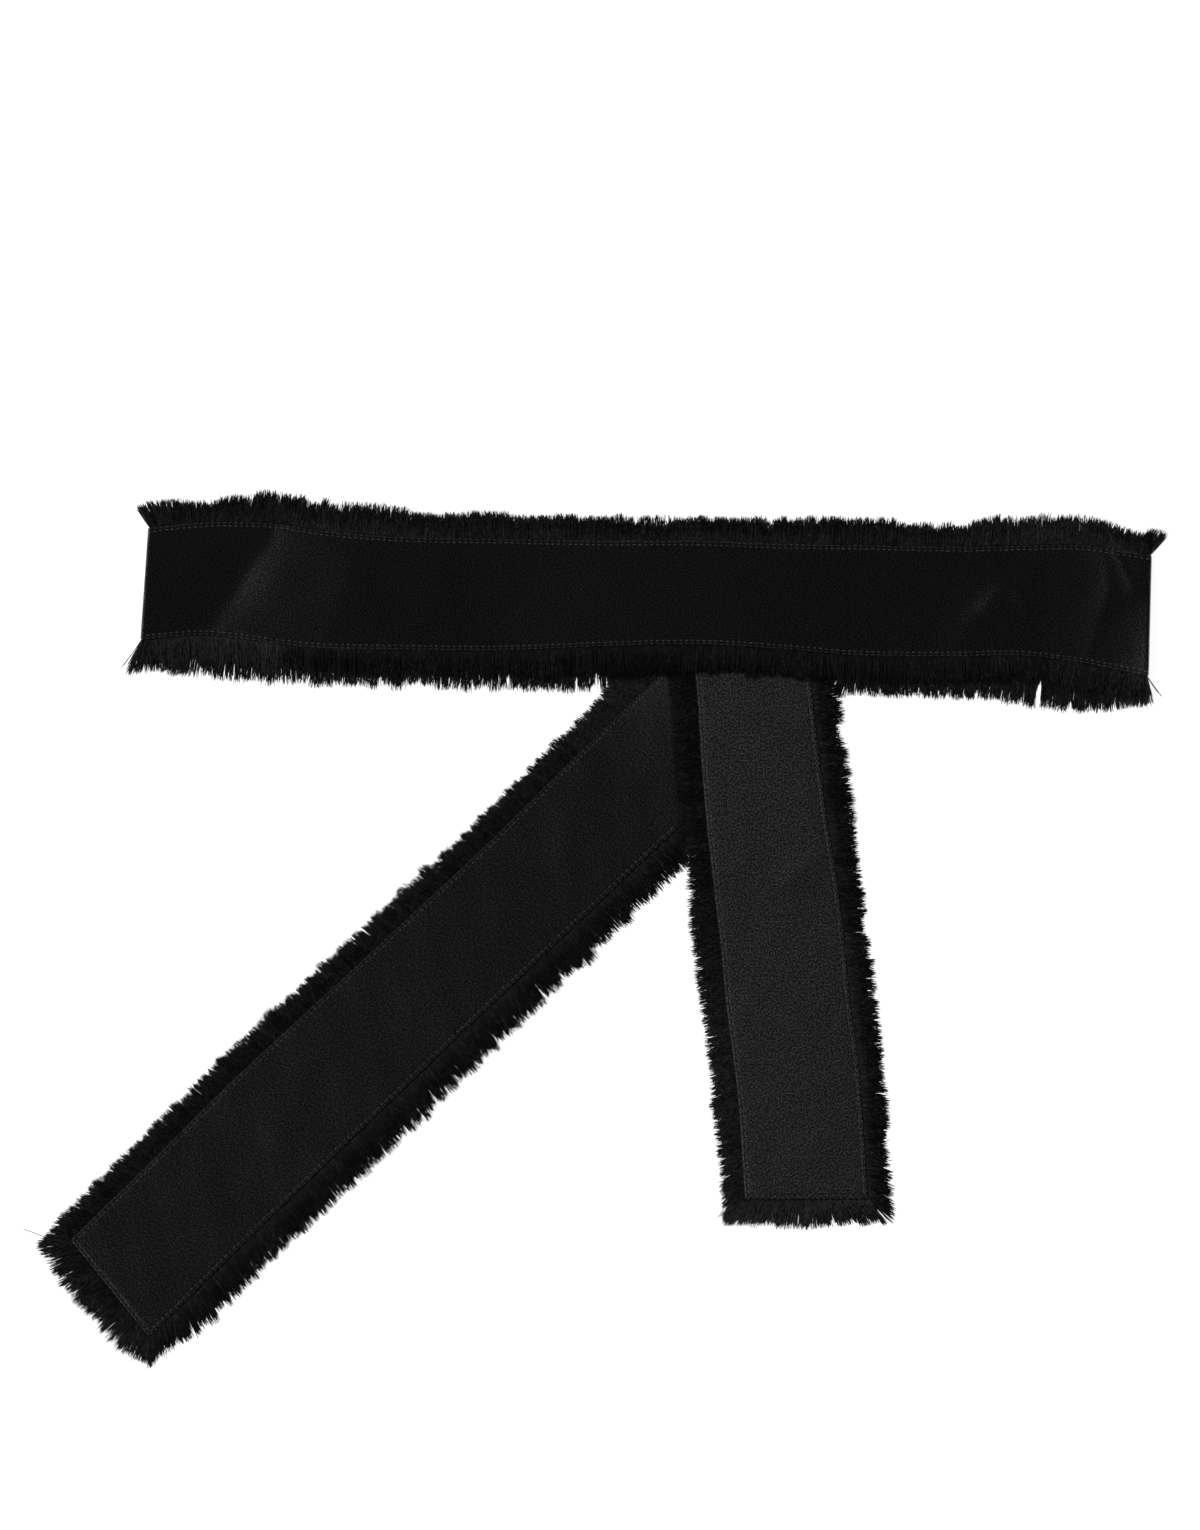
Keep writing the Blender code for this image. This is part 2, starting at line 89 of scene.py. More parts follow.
# The ripples all over the cloth, and the puckers along the stitching, which run across it.
RIPPLE_HEIGHT = 0.09
RIPPLE_LENGTHS = (16.0, 60.0)
RIPPLE_COUNT = 12
PUCKER_HEIGHT = 0.035
PUCKER_LENGTHS = (3.0, 8.0)
PUCKER_COUNT = 9
PUCKER_DRAW = 0.25
PUCKER_INSET = 2.0
PUCKER_BREADTH = 2.2

# The topstitching: two rows, with their distances from the edge, their radii and their grooves.
STITCH_ROWS = (1.95, 0.62)
STITCH_RADII = (0.26, 0.16)
GROOVE_DEPTHS = (0.13, 0.065)
GROOVE_BREADTH = 0.34
STITCH_PITCH = 2.5
STITCH_LENGTH = 1.55
# A stitch: shares of its length, with the height over the cloth and the share of the radius at each.
STITCH_STEPS = (-0.5, -0.34, -0.12, 0.12, 0.34, 0.5)
STITCH_HEIGHTS = (-0.2, 0.04, 0.12, 0.12, 0.04, -0.2)
STITCH_TAPER = (0.0, 0.75, 1.0, 1.0, 0.75, 0.0)
STITCH_SIDES = 5
# How much the stitches slip along their row, stray from it and turn.
STITCH_SLIP = 0.05
STITCH_STRAY = 0.04
STITCH_TURN = 0.03
# Where a row starts and stops, and how far it stays from the corners of an open end.
ROW_START = 1.5
ROW_STOP = 0.8
ROW_CORNER = 1.2

# A thread of the fringe: shares of its run from root to tip, with the share of the radius at each.
THREAD_RADIUS = 0.175
THREAD_SIDES = 3
THREAD_STEPS = (0.0, 0.1, 0.5, 0.92, 1.0)
THREAD_TAPER = (0.0, 1.0, 0.95, 0.8, 0.0)
RADIUS_SPREAD = (0.8, 1.15)
ROOT_INSET = 0.9
# The shortest threads lose this share of their length, and a high power makes them few.
SHORTENING = 0.24
SHORTENING_POWER = 1.8
LEAN_SPREAD = 3.2
CURL_SPREAD = 0.05

# A tuft: its breadth, how far its threads draw together, how it differs from its neighbours in lean,
# length, height and painted light, a lighter colour that stands for threads that catch the light, and how
# its outline is rounded off at its sides.
TUFT_BREADTHS = (2.6, 7.0)
GATHER = 0.12
GATHER_SPREAD = (0.2, 1.0)
TUFT_LEAN = 1.8
TUFT_LENGTH = 0.045
TUFT_RISE = 0.2
TUFT_PAINTED_LIGHT = 0.12
TUFT_REACH = 1.02
TUFT_ROUNDING = 0.14
# The slow sweep of the threads' lean along a fringe, in degrees.
SWEEP = 1.6
SWEEP_LENGTHS = (14.0, 40.0)
SWEEP_COUNT = 6

# The share of the threads that lie evenly at the bottom as a mat, how much thicker and shorter they
# are, and how little they wander.
MAT_SHARE = 0.36
MAT_THICKNESS = 1.7
MAT_REACH = 0.9
MAT_SPACING = (0.2, 0.8)
MAT_LEAN = 0.5
MAT_CURL = 0.15
MAT_LEVEL = 0.2
# Extra threads at the ends of a fringe, where it fans out.
CORNER_THREADS = 60
CORNER_SPREAD = 9.0
# The share of the other threads that go their own way, and how far they do.
WILD = 0.014
WILD_LEAN = 0.35
WILD_CURL = 6.0
WILD_LEVEL = 1.15
# Wild threads also get this much more painted light in their colour.
WILD_PAINTED_LIGHT = 0.6

# The layers of a fringe: how deep it starts below the cloth's middle, how much higher its top layer
# is there, how high the threads pile up on what they lie on, and how that falls off to the tips.
LAYER_DROP = 0.7
LAYER_SPREAD = 1.3
PILE = 1.25
PILE_FALL = 0.35
DROOP_SPREAD = (0.4, 1.0)
THREAD_GROUND = 0.14
# The share of a thread's run over which it comes out of the seam.
ROOT_SHARE = 0.2
# How far from a root, either way, the edge's direction is taken.
EDGE_PROBE = 0.4

# A notch pushes the threads beside it apart and shortens those in it.
NOTCH_PUSH = 0.5
NOTCH_SPREAD = 4
NOTCH_SHARPNESS = 1.5

# The threads to a millimetre, in the fringes that show and in those that the front hides or covers.
FULL_DENSITY = 14.0
BACK_LEFT_DENSITY = 10.0
BACK_RIGHT_DENSITY = 12.0
HIDDEN_DENSITY = 7.0
CROSSING_DENSITY = 6.0

# The crossing's layers, each a little smaller than the one below it.
CROSSING_LAYERS = 3
CROSSING_RISE = 1.38
CROSSING_INSET = 1.2
CROSSING_SHORTENING = 3

# The satin: its sheen, the pebbly grain and the finer floats that its yarns leave, the speckle of
# brighter floats over dark ones, and the even bloom of its loose fibres. A noise has a scale, over the
# weave's coordinates, and a stretch along the strip, where less than 1 draws its cells out.
SATIN_ROUGHNESS = 0.4
ROUGHNESS_SPREAD = 0.01
SATIN_ANISOTROPY = 0.78
GRAIN_SCALE = 150.0
GRAIN_STRETCH = 0.35
GRAIN_HEIGHT = 0.045
FLOAT_SCALE = 620.0
FLOAT_STRETCH = 0.16
FLOAT_HEIGHT = 0.02
PATCH_SCALE = 9.0
PATCH_STRETCH = 0.5
PATCH_RANGE = (0.3, 0.7)
SPECKLE_SCALE = 160.0
SPECKLE_STRETCH = 0.85
SPECKLE_STOPS = (0.42, 0.69)
SPECKLE_TINTS = ((0.001, 0.001, 0.001), (0.078, 0.0755, 0.0735))
BLOOM = 0.43
BLOOM_ROUGHNESS = 0.8

# The painted glints of the threads, lighter specks in their colour that stand for light caught by their
# twist: how often the specks change from thread to thread and along one, how much more of them a thread
# with more painted light has, and how much smoother they are.
TWIST_AND_GLINT_THREADS = 400.0
TWIST_AND_GLINT_SPECKS = 14.0
PAINTED_LIGHT_WEIGHT = 0.26
TWIST_ROUGHNESS = 0.12
# A thread's painted light is its tuft's for the first share and its own for the second.
PAINTED_LIGHT_SHARES = (0.8, 0.2)
# The fringe thread's own black, the colour of its painted glints and the stops of the ramp between them.
FRINGE_BLACK_AND_GLINT_TINTS = ((0.0008, 0.0008, 0.0008), (0.073, 0.071, 0.069))
FRINGE_GLINT_STOPS = (0.62, 0.82)
# The sewing thread's colour, the colour of its painted glints and the stops of the ramp between them.
SEWING_TINTS_AND_GLINTS = ((0.05, 0.05, 0.05), (0.16, 0.16, 0.16))
SEWING_GLINT_STOPS = (0.4, 0.9)

# The studio: a soft light on either side, the left one stronger, the low glow of the floor and a sky
# that darkens up to a height, where 1 is straight overhead. The places and sizes are in metres.
FLOOR_SIZE = 60.0
FLOOR_GREY = 0.85
FLOOR_GLOW = 0.9
LEFT_WATTS = 600.0
RIGHT_WATTS = 80.0
SIDE_LIGHT_PLACE = (8.0, 0.4, 8.88)
SIDE_LIGHT_SIZE = 8.0
SKY_LOW = 0.17
SKY_HIGH = 0.05
SKY_DARK_HEIGHT = 0.45

# The camera looks straight down at the middle of the photograph's frame.
LENS = 200.0
SENSOR = 36.0
TARGET_HEIGHT = 2.0

# A section of a stretch has its place along it, how far its middle is to the left, its width, how far
# its left edge is ahead of its right one, and how high it lies.
Section = namedtuple("Section", "along drift width skew lift")
Stretch = namedtuple("Stretch", "start heading sections")
Crease = namedtuple("Crease", "height left right path")
# A row of a fringe: its place along the edge, how far the threads reach there, their lean and their
# painted light, which lightens their colour where they should look lit.
Tuft = namedtuple("Tuft", "along reach lean shine", defaults=(0.35,))
Notch = namedtuple("Notch", "along breadth depth")
# Something below a fringe: from where to where, how far out it reaches and how high it is.
Shelf = namedtuple("Shelf", "start stop reach height")
# What the threads of a fringe have from their tufts. within is 0 in a tuft's middle and 1 at its side.
Gathered = namedtuple("Gathered", "middle within lean length draw rise shine")

FRONT = Stretch((0.0, 0.0), 0.0, (
    Section(-196.2, 147.7, 48.6, 3.4, 3.2),
    Section(-172.0, 149.9, 48.8, 3.0, 3.1),
    Section(-155.0, 149.4, 50.3, 2.6, 2.9),
    Section(-137.8, 147.7, 51.8, 2.0, 2.7),
    Section(-120.6, 145.4, 50.7, 1.2, 2.4),
    Section(-86.0, 143.7, 48.8, 0.0, 2.1),
    Section(-43.0, 143.1, 48.3, 0.0, 2.2),
    Section(0.0, 143.5, 45.8, 0.0, 4.0),
    Section(43.0, 143.9, 44.9, 0.0, 4.9),
    Section(77.0, 142.3, 45.6, 0.0, 4.9),
    Section(111.6, 140.7, 47.9, 0.0, 3.8),
    Section(154.6, 140.1, 47.4, 0.0, 2.4),
    Section(180.4, 140.6, 47.7, 0.4, 2.2),
    Section(206.2, 139.2, 50.8, 0.8, 2.7),
    Section(223.4, 136.3, 51.6, 1.1, 3.1),
    Section(236.4, 133.9, 52.5, 1.3, 3.2),
))
BACK_LEFT = Stretch((0.0, 0.0), 0.0, (
    Section(-186.4, 147.2, 49.0, 3.2, 0.0),
    Section(-172.0, 145.4, 49.8, 2.0, 0.0),
    Section(-137.8, 143.6, 50.5, 0.0, 0.0),
    Section(-94.8, 142.5, 50.7, 0.0, 0.0),
    Section(-51.8, 141.6, 51.0, 0.0, 0.0),
    Section(-17.4, 140.8, 51.4, 0.0, 0.0),
    Section(15.5, 140.5, 51.6, 0.0, 0.0),
))
BACK_RIGHT = Stretch((0.0, 0.0), 0.0, (
    Section(104.3, 137.6, 51.9, 0.0, 0.0),
    Section(128.8, 137.5, 52.0, 0.0, 0.0),
    Section(165.3, 136.3, 52.0, 0.0, 0.0),
    Section(189.0, 133.4, 51.8, 0.0, 0.0),
    Section(206.2, 131.6, 52.0, 0.4, 0.0),
    Section(219.0, 131.6, 52.2, 0.8, 0.0),
    Section(226.6, 132.8, 52.4, 1.2, 0.0),
))
CROSSING = Stretch((0.0, 0.0), 0.0, (
    Section(15.8, 140.5, 51.4, 0.0, 0.0),
    Section(38.0, 140.2, 51.2, 0.0, 0.0),
    Section(80.0, 139.0, 51.0, 0.0, 0.0),
    Section(104.0, 137.6, 51.8, 0.0, 0.0),
))
TAIL_LEFT = Stretch((47.2, 92.9), 223.8, (
    Section(-25.3, 0.2, 54.0, -45.5, 0.0),
    Section(20.0, 0.2, 53.8, -14.0, 0.0),
    Section(60.0, 0.1, 53.0, -3.0, 0.0),
    Section(105.0, 0.4, 52.0, 0.0, 0.0),
    Section(170.0, -0.2, 52.4, 0.0, 0.0),
    Section(220.0, -0.6, 53.4, 0.0, 0.0),
    Section(260.0, -0.8, 54.2, 0.4, 0.0),
    Section(310.0, -0.2, 53.6, 2.4, 0.0),
    Section(358.6, 0.4, 54.0, 4.6, 0.0),
))
TAIL_RIGHT = Stretch((64.9, 113.9), -84.2, (
    Section(-0.5, 0.0, 49.2, 5.2, 1.7),
    Section(16.0, 0.0, 49.6, 5.2, 1.5),
    Section(42.0, -0.4, 50.9, 5.2, 1.5),
    Section(68.0, -0.3, 52.0, 5.2, 1.5),
    Section(84.0, 0.3, 53.0, 5.2, 1.45),
    Section(104.0, 0.8, 53.6, 5.2, 0.5),
    Section(122.0, 1.1, 53.5, 5.2, 0.0),
    Section(150.0, 1.0, 53.7, 5.2, 0.0),
    Section(172.0, 1.8, 53.9, 5.2, 0.0),
    Section(194.0, 1.6, 53.2, 5.2, 0.0),
    Section(232.4, 0.2, 53.2, 5.2, 0.0),
))

# The creases, as soft ridges: the height, the breadth to the left and to the right of the way they
# run, and the places they run through, each a distance along and a share of the half width.
FRONT_CREASES = (
    Crease(-2.9, 20.0, 13.0, ((-176.0, -1.9), (-170.0, -1.0), (-160.0, -0.3), (-151.0, 0.3), (-143.0, 0.8),
                              (-132.0, 2.2))),
    Crease(0.8, 60.0, 60.0, ((-240.0, 0.0), (-180.0, 0.0), (-120.0, 0.0), (-60.0, 0.0))),
    Crease(2.7, 34.0, 40.0, ((-126.0, -2.4), (-116.0, -0.8), (-106.0, 0.3), (-96.0, 2.4))),
    Crease(1.2, 45.0, 45.0, ((-92.0, -2.4), (-78.0, -0.6), (-66.0, 0.6), (-52.0, 2.4))),
    Crease(1.2, 16.0, 16.0, ((-196.0, -2.2), (-196.5, 0.0), (-196.0, 2.2))),
    Crease(0.5, 14.0, 14.0, ((-30.0, 0.2), (20.0, 0.1), (90.0, -0.1))),
    Crease(1.6, 6.5, 26.0, ((144.0, -2.8), (153.0, -0.95), (161.0, -0.35), (169.0, 0.02), (178.0, 0.2))),
    Crease(1.2, 3.0, 14.0, ((164.0, -0.25), (168.5, 0.03), (174.0, 0.2), (182.0, 0.3), (190.0, 0.32))),
    Crease(0.95, 3.6, 9.0, ((210.0, 1.5), (217.0, 0.7), (218.0, 0.2), (214.0, -0.3), (207.0, -1.3))),
    Crease(2.3, 10.0, 5.0, ((217.0, 1.35), (222.0, 0.95), (227.0, 0.6), (231.0, 0.25))),
    Crease(4.6, 16.0, 15.0, ((238.0, -2.6), (238.0, -0.7), (238.0, 0.7))),
)
TAIL_LEFT_CREASES = (
    Crease(0.5, 8.0, 10.0, ((44.0, -0.7), (70.0, -0.4), (96.0, 0.1))),
    Crease(0.4, 10.0, 8.0, ((116.0, 0.6), (150.0, 0.3), (184.0, 0.0))),
    Crease(0.25, 8.0, 9.0, ((206.0, -0.6), (236.0, -0.2), (266.0, 0.2))),
    Crease(0.2, 9.0, 8.0, ((296.0, 0.6), (318.0, 0.2), (340.0, -0.2))),
    Crease(0.9, 50.0, 50.0, ((374.0, -2.8), (374.0, 0.0), (374.0, 2.8))),
)
TAIL_RIGHT_CREASES = (
    Crease(0.4, 6.0, 6.0, ((32.0, -0.4), (38.0, 0.3), (44.0, 1.0))),
    Crease(0.5, 2.0, 7.0, ((97.0, 0.05), (89.0, 0.45), (80.0, 1.0))),
    Crease(0.4, 8.0, 8.0, ((144.0, -0.8), (150.0, -0.1), (156.0, 0.6))),
    Crease(0.4, 7.0, 7.0, ((212.0, -0.4), (206.0, 0.2), (200.0, 0.8))),
)


def smooth(rows, along):
    """The columns of a table at any distances, on smooth curves through its rows."""
    table = np.array(rows, float)
    keys = table[:, 0]
    last = len(keys) - 1
    along = np.clip(np.asarray(along, float), keys[0], keys[last])
    low = np.clip(np.searchsorted(keys, along, side="right") - 1, 0, last - 1)
    before, start, stop, after = (table[np.clip(low + step, 0, last)] for step in (-1, 0, 1, 2))
    gap = stop[..., :1] - start[..., :1]
    share = (along[..., None] - start[..., :1]) / gap
    enter = (stop - before) / (stop[..., :1] - before[..., :1]) * gap
    leave = (after - start) / (after[..., :1] - start[..., :1]) * gap
    return (
        start
        + share * enter
        + share**2 * (3 * (stop - start) - 2 * enter - leave)
        + share**3 * (2 * (start - stop) + enter + leave)
    )


def ease(share):
    """A smooth step from 0 to 1."""
    share = np.clip(share, 0.0, 1.0)
    return share * share * (3 - 2 * share)


def waves(rng, along, side, shortest, longest, count):
    """An uneven ripple of random directions and lengths, about 1 high at most."""
    total = np.zeros(np.broadcast(along, side).shape)
    for _ in range(count):
        length = rng.uniform(shortest, longest)
        turn = rng.uniform(0.0, math.pi)
        phase = rng.uniform(0.0, 2 * math.pi)
        total += np.sin(2 * math.pi * (along * math.cos(turn) + side * math.sin(turn)) / length + phase)
    return total / math.sqrt(count)


class Cloth:
    """One stretch of cloth. Its path runs through stations: an arc length, a distance along, the height
    of its underside and the tilt of its outer side from straight up towards its forward end."""

    def __init__(self, name, stretch, stations, creases=(), seed=0, open_end=False):
        self.name = name
        self.stretch = stretch
        self.stations = np.array(stations, float)
        self.creases = creases
        self.seed = seed
        self.open_end = open_end

    def plan(self, along, across):
        """A place in the stretch's own plane, across being 1 at its left edge and -1 at its right."""
        row = smooth(self.stretch.sections, along)
        return along + across * row[..., 3] / 2, row[..., 1] + across * row[..., 2] / 2

    def width(self, along):
        """The width of the stretch at distances along it."""
        return smooth(self.stretch.sections, along)[..., 2]

    def to_belt(self, points):
        """Points of the stretch's frame in the belt's frame."""
        turn = math.radians(self.stretch.heading)
        spin = np.array(((math.cos(turn), -math.sin(turn)), (math.sin(turn), math.cos(turn))))
        moved = np.array(points, float)
        moved[..., :2] = moved[..., :2] @ spin.T + np.array(self.stretch.start)
        return moved - OUTLINE_MIDDLE

    def edge_distance(self, along, across):
        """How far a place is from the nearest sewn edge."""
        side = (1 - np.abs(across)) * self.width(along) / 2
        return np.minimum(side, self.stretch.sections[-1].along - along) if self.open_end else side

    def thickness(self, along, across):
        """The wall, thin and rolled at the edge, with a groove along each row of stitches."""
        distance = np.maximum(self.edge_distance(along, across), 0.0)
        wall = EDGE_WALL + (WALL - PUFF - EDGE_WALL) * np.sqrt(ease(distance / EDGE_ROLL))
        wall = wall + PUFF * ease((distance - PUFF_START) / PUFF_BREADTH)
        for row, depth in zip(STITCH_ROWS, GROOVE_DEPTHS):
            wall = wall - depth * np.exp(-(((distance - row) / GROOVE_BREADTH) ** 2))
        return wall

    def crease_lift(self, crease, x, y):
        """How far one crease lifts the cloth at places of its plane."""
        path = np.array(crease.path, float)
        keys = np.arange(len(path))
        finer = np.linspace(0, len(path) - 1, CREASE_FINENESS * len(path))
        fine = smooth(np.column_stack((keys, path)), finer)
        px, py = self.plan(fine[:, 1], fine[:, 2])
        best = np.full(x.shape, np.inf)
        signed = np.zeros(x.shape)
        share = np.zeros(x.shape)
        for index in range(len(px) - 1):
            dx, dy = px[index + 1] - px[index], py[index + 1] - py[index]
            long2 = dx * dx + dy * dy
            t = np.clip(((x - px[index]) * dx + (y - py[index]) * dy) / long2, 0, 1)
            gx, gy = x - px[index] - t * dx, y - py[index] - t * dy
            away = np.hypot(gx, gy)
            near = away < best
            best = np.where(near, away, best)
            signed = np.where(near, np.sign(dx * gy - dy * gx), signed)
            share = np.where(near, (index + t) / (len(px) - 1), share)
        breadth = np.where(signed > 0, crease.left, crease.right)
        rounding = CREASE_ROUNDING * (crease.left + crease.right) / 2
        fall = (np.hypot(best, rounding) - rounding) / breadth
        return crease.height * np.exp(-fall) * np.sin(np.pi * share) ** CREASE_FADE

    def relief(self, along, across, tilt):
        """How far the creases, the ripples and the puckers at the stitches lift the cloth."""
        x, y = self.plan(along, across)
        height = np.zeros(x.shape)
        for crease in self.creases:
            height += self.crease_lift(crease, x, y)
        rng = np.random.default_rng(self.seed)
        height += RIPPLE_HEIGHT * waves(rng, x, y, *RIPPLE_LENGTHS, RIPPLE_COUNT)
        beside = (self.edge_distance(along, across) - PUCKER_INSET) / PUCKER_BREADTH
        pucker = waves(rng, x, y * PUCKER_DRAW, *PUCKER_LENGTHS, PUCKER_COUNT) * np.exp(-(beside**2))
        height += PUCKER_HEIGHT * pucker
        return height * np.clip(np.cos(tilt), 0.0, 1.0)

    def at(self, arc):
        """The distance along, the height and the tilt at an arc length."""
        arc = np.asarray(arc, float)
        keys = self.stations[:, 0]
        return [np.interp(arc, keys, self.stations[:, column]) for column in (1, 2, 3)]

    def surface(self, arc, across, out=0.0):
        """Points of the outer side, moved out by a distance."""
        along, height, tilt = self.at(arc)
        return self.raised(along, height, tilt, across, self.thickness(along, across) + out)

    def raised(self, along, height, tilt, across, out):
        """Points at a distance out from the underside, moved by the relief."""
        x, y = self.plan(along, across)
        z = height + self.relief(along, across, tilt)
        return self.to_belt(np.stack((x + np.sin(tilt) * out, y, z + np.cos(tilt) * out), axis=-1))

    def underside(self, arc, across):
        """Points of the inner side, which follows the relief only where it hangs clear of the ground."""
        along, height, tilt = self.at(arc)
        x, y = self.plan(along, across)
        hollow = self.relief(along, across, tilt) * ease(height - HOLLOW_START)
        return self.to_belt(np.stack(np.broadcast_arrays(x, y, height + hollow), axis=-1))

    def edge(self, arc, side):
        """The middle of a side edge: 1 is the left one and -1 the right one."""
        across = np.full(np.shape(arc), float(side))
        return (self.surface(arc, across) + self.underside(arc, across)) / 2

    def end(self, offset):
        """The middle of the far edge, at distances to the left of its middle."""
        last = self.stretch.sections[-1]
        arc = np.full(np.shape(offset), self.stations[-1, 0])
        across = 2 * offset / last.width
        return (self.surface(arc, across) + self.underside(arc, across)) / 2


def lying(stretch, open_end=False):
    """The stations of a stretch without a fold, closer together at an open end's hem."""
    first, last = stretch.sections[0].along, stretch.sections[-1].along
    hem = [last - step for step in HEM_STEPS[::-1]] if open_end else [last]
    count = math.ceil((hem[0] - first) / STATION_STEP)
    along = np.concatenate((np.linspace(first, hem[0], count + 1)[:-1], hem))
    lift = np.maximum(smooth(stretch.sections, along)[..., 4], 0.0) + GROUND_CLEARANCE
    return np.column_stack((along, along, lift, np.zeros(len(along))))


def folded(stretch):
    """The stations of the front: its left fold's return, the left fold, the flat, and the right fold."""
    def fold(edge, facing):
        radius = float(smooth(stretch.sections, edge)[4]) / 2
        middle = edge - facing * (radius + WALL / 2)
        turn = np.linspace(0.0, math.pi, FOLD_STEPS + 1)
        sine, cosine = np.sin(turn).clip(0.0), np.cos(turn)
        along = middle + facing * radius * sine**FOLD_POWER
        height = GROUND_CLEARANCE + WALL / 2 + radius * (1 + np.sign(cosine) * np.abs(cosine)**FOLD_POWER)
        rest = 2 - FOLD_POWER
        tilt = np.arctan2(sine**rest, np.sign(cosine) * np.abs(cosine)**rest)
        along = np.append(along, middle - facing * FOLD_RETURN)
        return along, np.append(height, GROUND_CLEARANCE + WALL / 2), np.append(tilt, math.pi) * facing

    left = [column[::-1] for column in fold(stretch.sections[0].along, -1)]
    right = fold(stretch.sections[-1].along, 1)
    count = math.ceil((right[0][0] - left[0][-1]) / STATION_STEP)
    flat = np.linspace(left[0][-1], right[0][0], count + 1)[1:-1]
    top = smooth(stretch.sections, flat)[..., 4] + GROUND_CLEARANCE + WALL / 2
    along = np.concatenate((left[0], flat, right[0]))
    height = np.concatenate((left[1], top, right[1]))
    tilt = np.concatenate((left[2], np.zeros(len(flat)), right[2]))
    arc = np.concatenate(([0.0], np.cumsum(np.hypot(np.diff(along), np.diff(height)))))
    arc += stretch.sections[0].along - FOLD_RETURN
    # The stations hold the middle of the wall, and the underside is half a wall below it.
    along = along - np.sin(tilt) * WALL / 2
    return np.column_stack((arc, along, height - np.cos(tilt) * WALL / 2, tilt))


def mesh_piece(name, points, faces, material, coordinates=None):
    """A smooth object from points in millimetres, arrays of faces and a pair of coordinates for each
    point, which the materials read."""
    mesh = bpy.data.meshes.new(name)
    corners = np.concatenate([part.ravel() for part in faces])
    sizes = np.concatenate([np.full(len(part), part.shape[1]) for part in faces])
    mesh.vertices.add(len(points))
    mesh.vertices.foreach_set("co", (points * MM).astype(np.float32).ravel())
    mesh.loops.add(len(corners))
    mesh.loops.foreach_set("vertex_index", corners.astype(np.int32))
    mesh.polygons.add(len(sizes))
    mesh.polygons.foreach_set("loop_start", (np.cumsum(sizes) - sizes).astype(np.int32))
    if coordinates is not None:
        layer = mesh.uv_layers.new(name="weave")
        layer.data.foreach_set("uv", coordinates[corners].astype(np.float32).ravel())
    mesh.update(calc_edges=True)
    mesh.shade_smooth()
    mesh.materials.append(material)
    piece = bpy.data.objects.new(name, mesh)
    bpy.context.collection.objects.link(piece)
    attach(piece, "root")
    return piece


def cloth_grid(cloth):
    """The points, faces and weave coordinates of a cloth's closed wall."""
    arc = cloth.stations[:, 0]
    along = cloth.stations[:, 1]
    half = cloth.width(along) / 2
    hem = 1 - np.array(HEM_STEPS)[None, :] / half[:, None]
    body = np.linspace(1.0, -1.0, BODY_COLUMNS)[None, 1:-1] * hem[:, -1:]
    across = np.concatenate((hem, body, -hem[:, ::-1]), axis=1)
    arcs = np.broadcast_to(arc[:, None], across.shape)
    outer = cloth.surface(arcs, across)
    inner = cloth.underside(arcs, across)
    rows, columns = across.shape
    size = rows * columns
    index = np.arange(size).reshape(rows, columns)

    def quads(a, b, c, d):
        return np.stack((a.ravel(), b.ravel(), c.ravel(), d.ravel()), axis=1)

    faces = [
        quads(index[:-1, :-1], index[:-1, 1:], index[1:, 1:], index[1:, :-1]),
        quads(index[:-1, :-1], index[1:, :-1], index[1:, 1:], index[:-1, 1:]) + size,
        quads(index[:-1, 0], index[1:, 0], index[1:, 0] + size, index[:-1, 0] + size),
        quads(index[1:, -1], index[:-1, -1], index[:-1, -1] + size, index[1:, -1] + size),
        quads(index[0, 1:], index[0, :-1], index[0, :-1] + size, index[0, 1:] + size),
        quads(index[-1, :-1], index[-1, 1:], index[-1, 1:] + size, index[-1, :-1] + size),
    ]
    points = np.concatenate((outer.reshape(-1, 3), inner.reshape(-1, 3)))
    sides = (across * half[:, None]).ravel()
    weave = np.stack((np.tile(sides, 2), np.tile(arcs.ravel(), 2)), axis=1) / WEAVE_UNIT
    return points, [np.concatenate(faces)], weave


def tubes(centres, radii, sides, values=None):
    """The points, faces and coordinates of closed tubes that are pointed at both ends.

    centres holds a line of points for each tube, and radii the radius at each of them.
    """
    count, rings = centres.shape[:2]
    forward = np.gradient(centres, axis=1)
    forward /= np.linalg.norm(forward, axis=2, keepdims=True)
    side = np.cross(forward, np.array((0.0, 0.0, 1.0)))
    side /= np.linalg.norm(side, axis=2, keepdims=True) + 1e-9
    up = np.cross(side, forward)
    angle = 2 * math.pi * np.arange(sides) / sides + math.pi / 2
    spokes = (
        np.cos(angle)[None, None, :, None] * side[:, :, None, :]
        + np.sin(angle)[None, None, :, None] * up[:, :, None, :]
    )
    body = centres[:, 1:-1, None, :] + spokes[:, 1:-1] * radii[:, 1:-1, None, None]
    middle = rings - 2
    each = middle * sides + 2
    points = np.concatenate((centres[:, :1], body.reshape(count, middle * sides, 3), centres[:, -1:]), axis=1)
    ring = np.arange(sides)
    beside = (ring + 1) % sides
    triangles = [np.stack((np.zeros(sides, int), 1 + beside, 1 + ring), axis=1)]
    last = 1 + (middle - 1) * sides
    triangles.append(np.stack((last + ring, last + beside, np.full(sides, each - 1)), axis=1))
    squares = [
        np.stack((1 + row * sides + ring, 1 + row * sides + beside,
                  1 + (row + 1) * sides + beside, 1 + (row + 1) * sides + ring), axis=1)
        for row in range(middle - 1)
    ]
    start = (np.arange(count) * each)[:, None, None]
    faces = [(np.concatenate(part)[None] + start).reshape(-1, len(part[0][0]))
             for part in (triangles, squares)]
    shares = np.concatenate(([0.0], np.repeat(np.arange(1, rings - 1) / (rings - 1), sides), [1.0]))
    values = np.zeros(count) if values is None else values
    coordinates = np.stack(np.broadcast_arrays(values[:, None], shares[None, :]), axis=-1)
    return points.reshape(-1, 3), faces, coordinates.reshape(-1, 2)


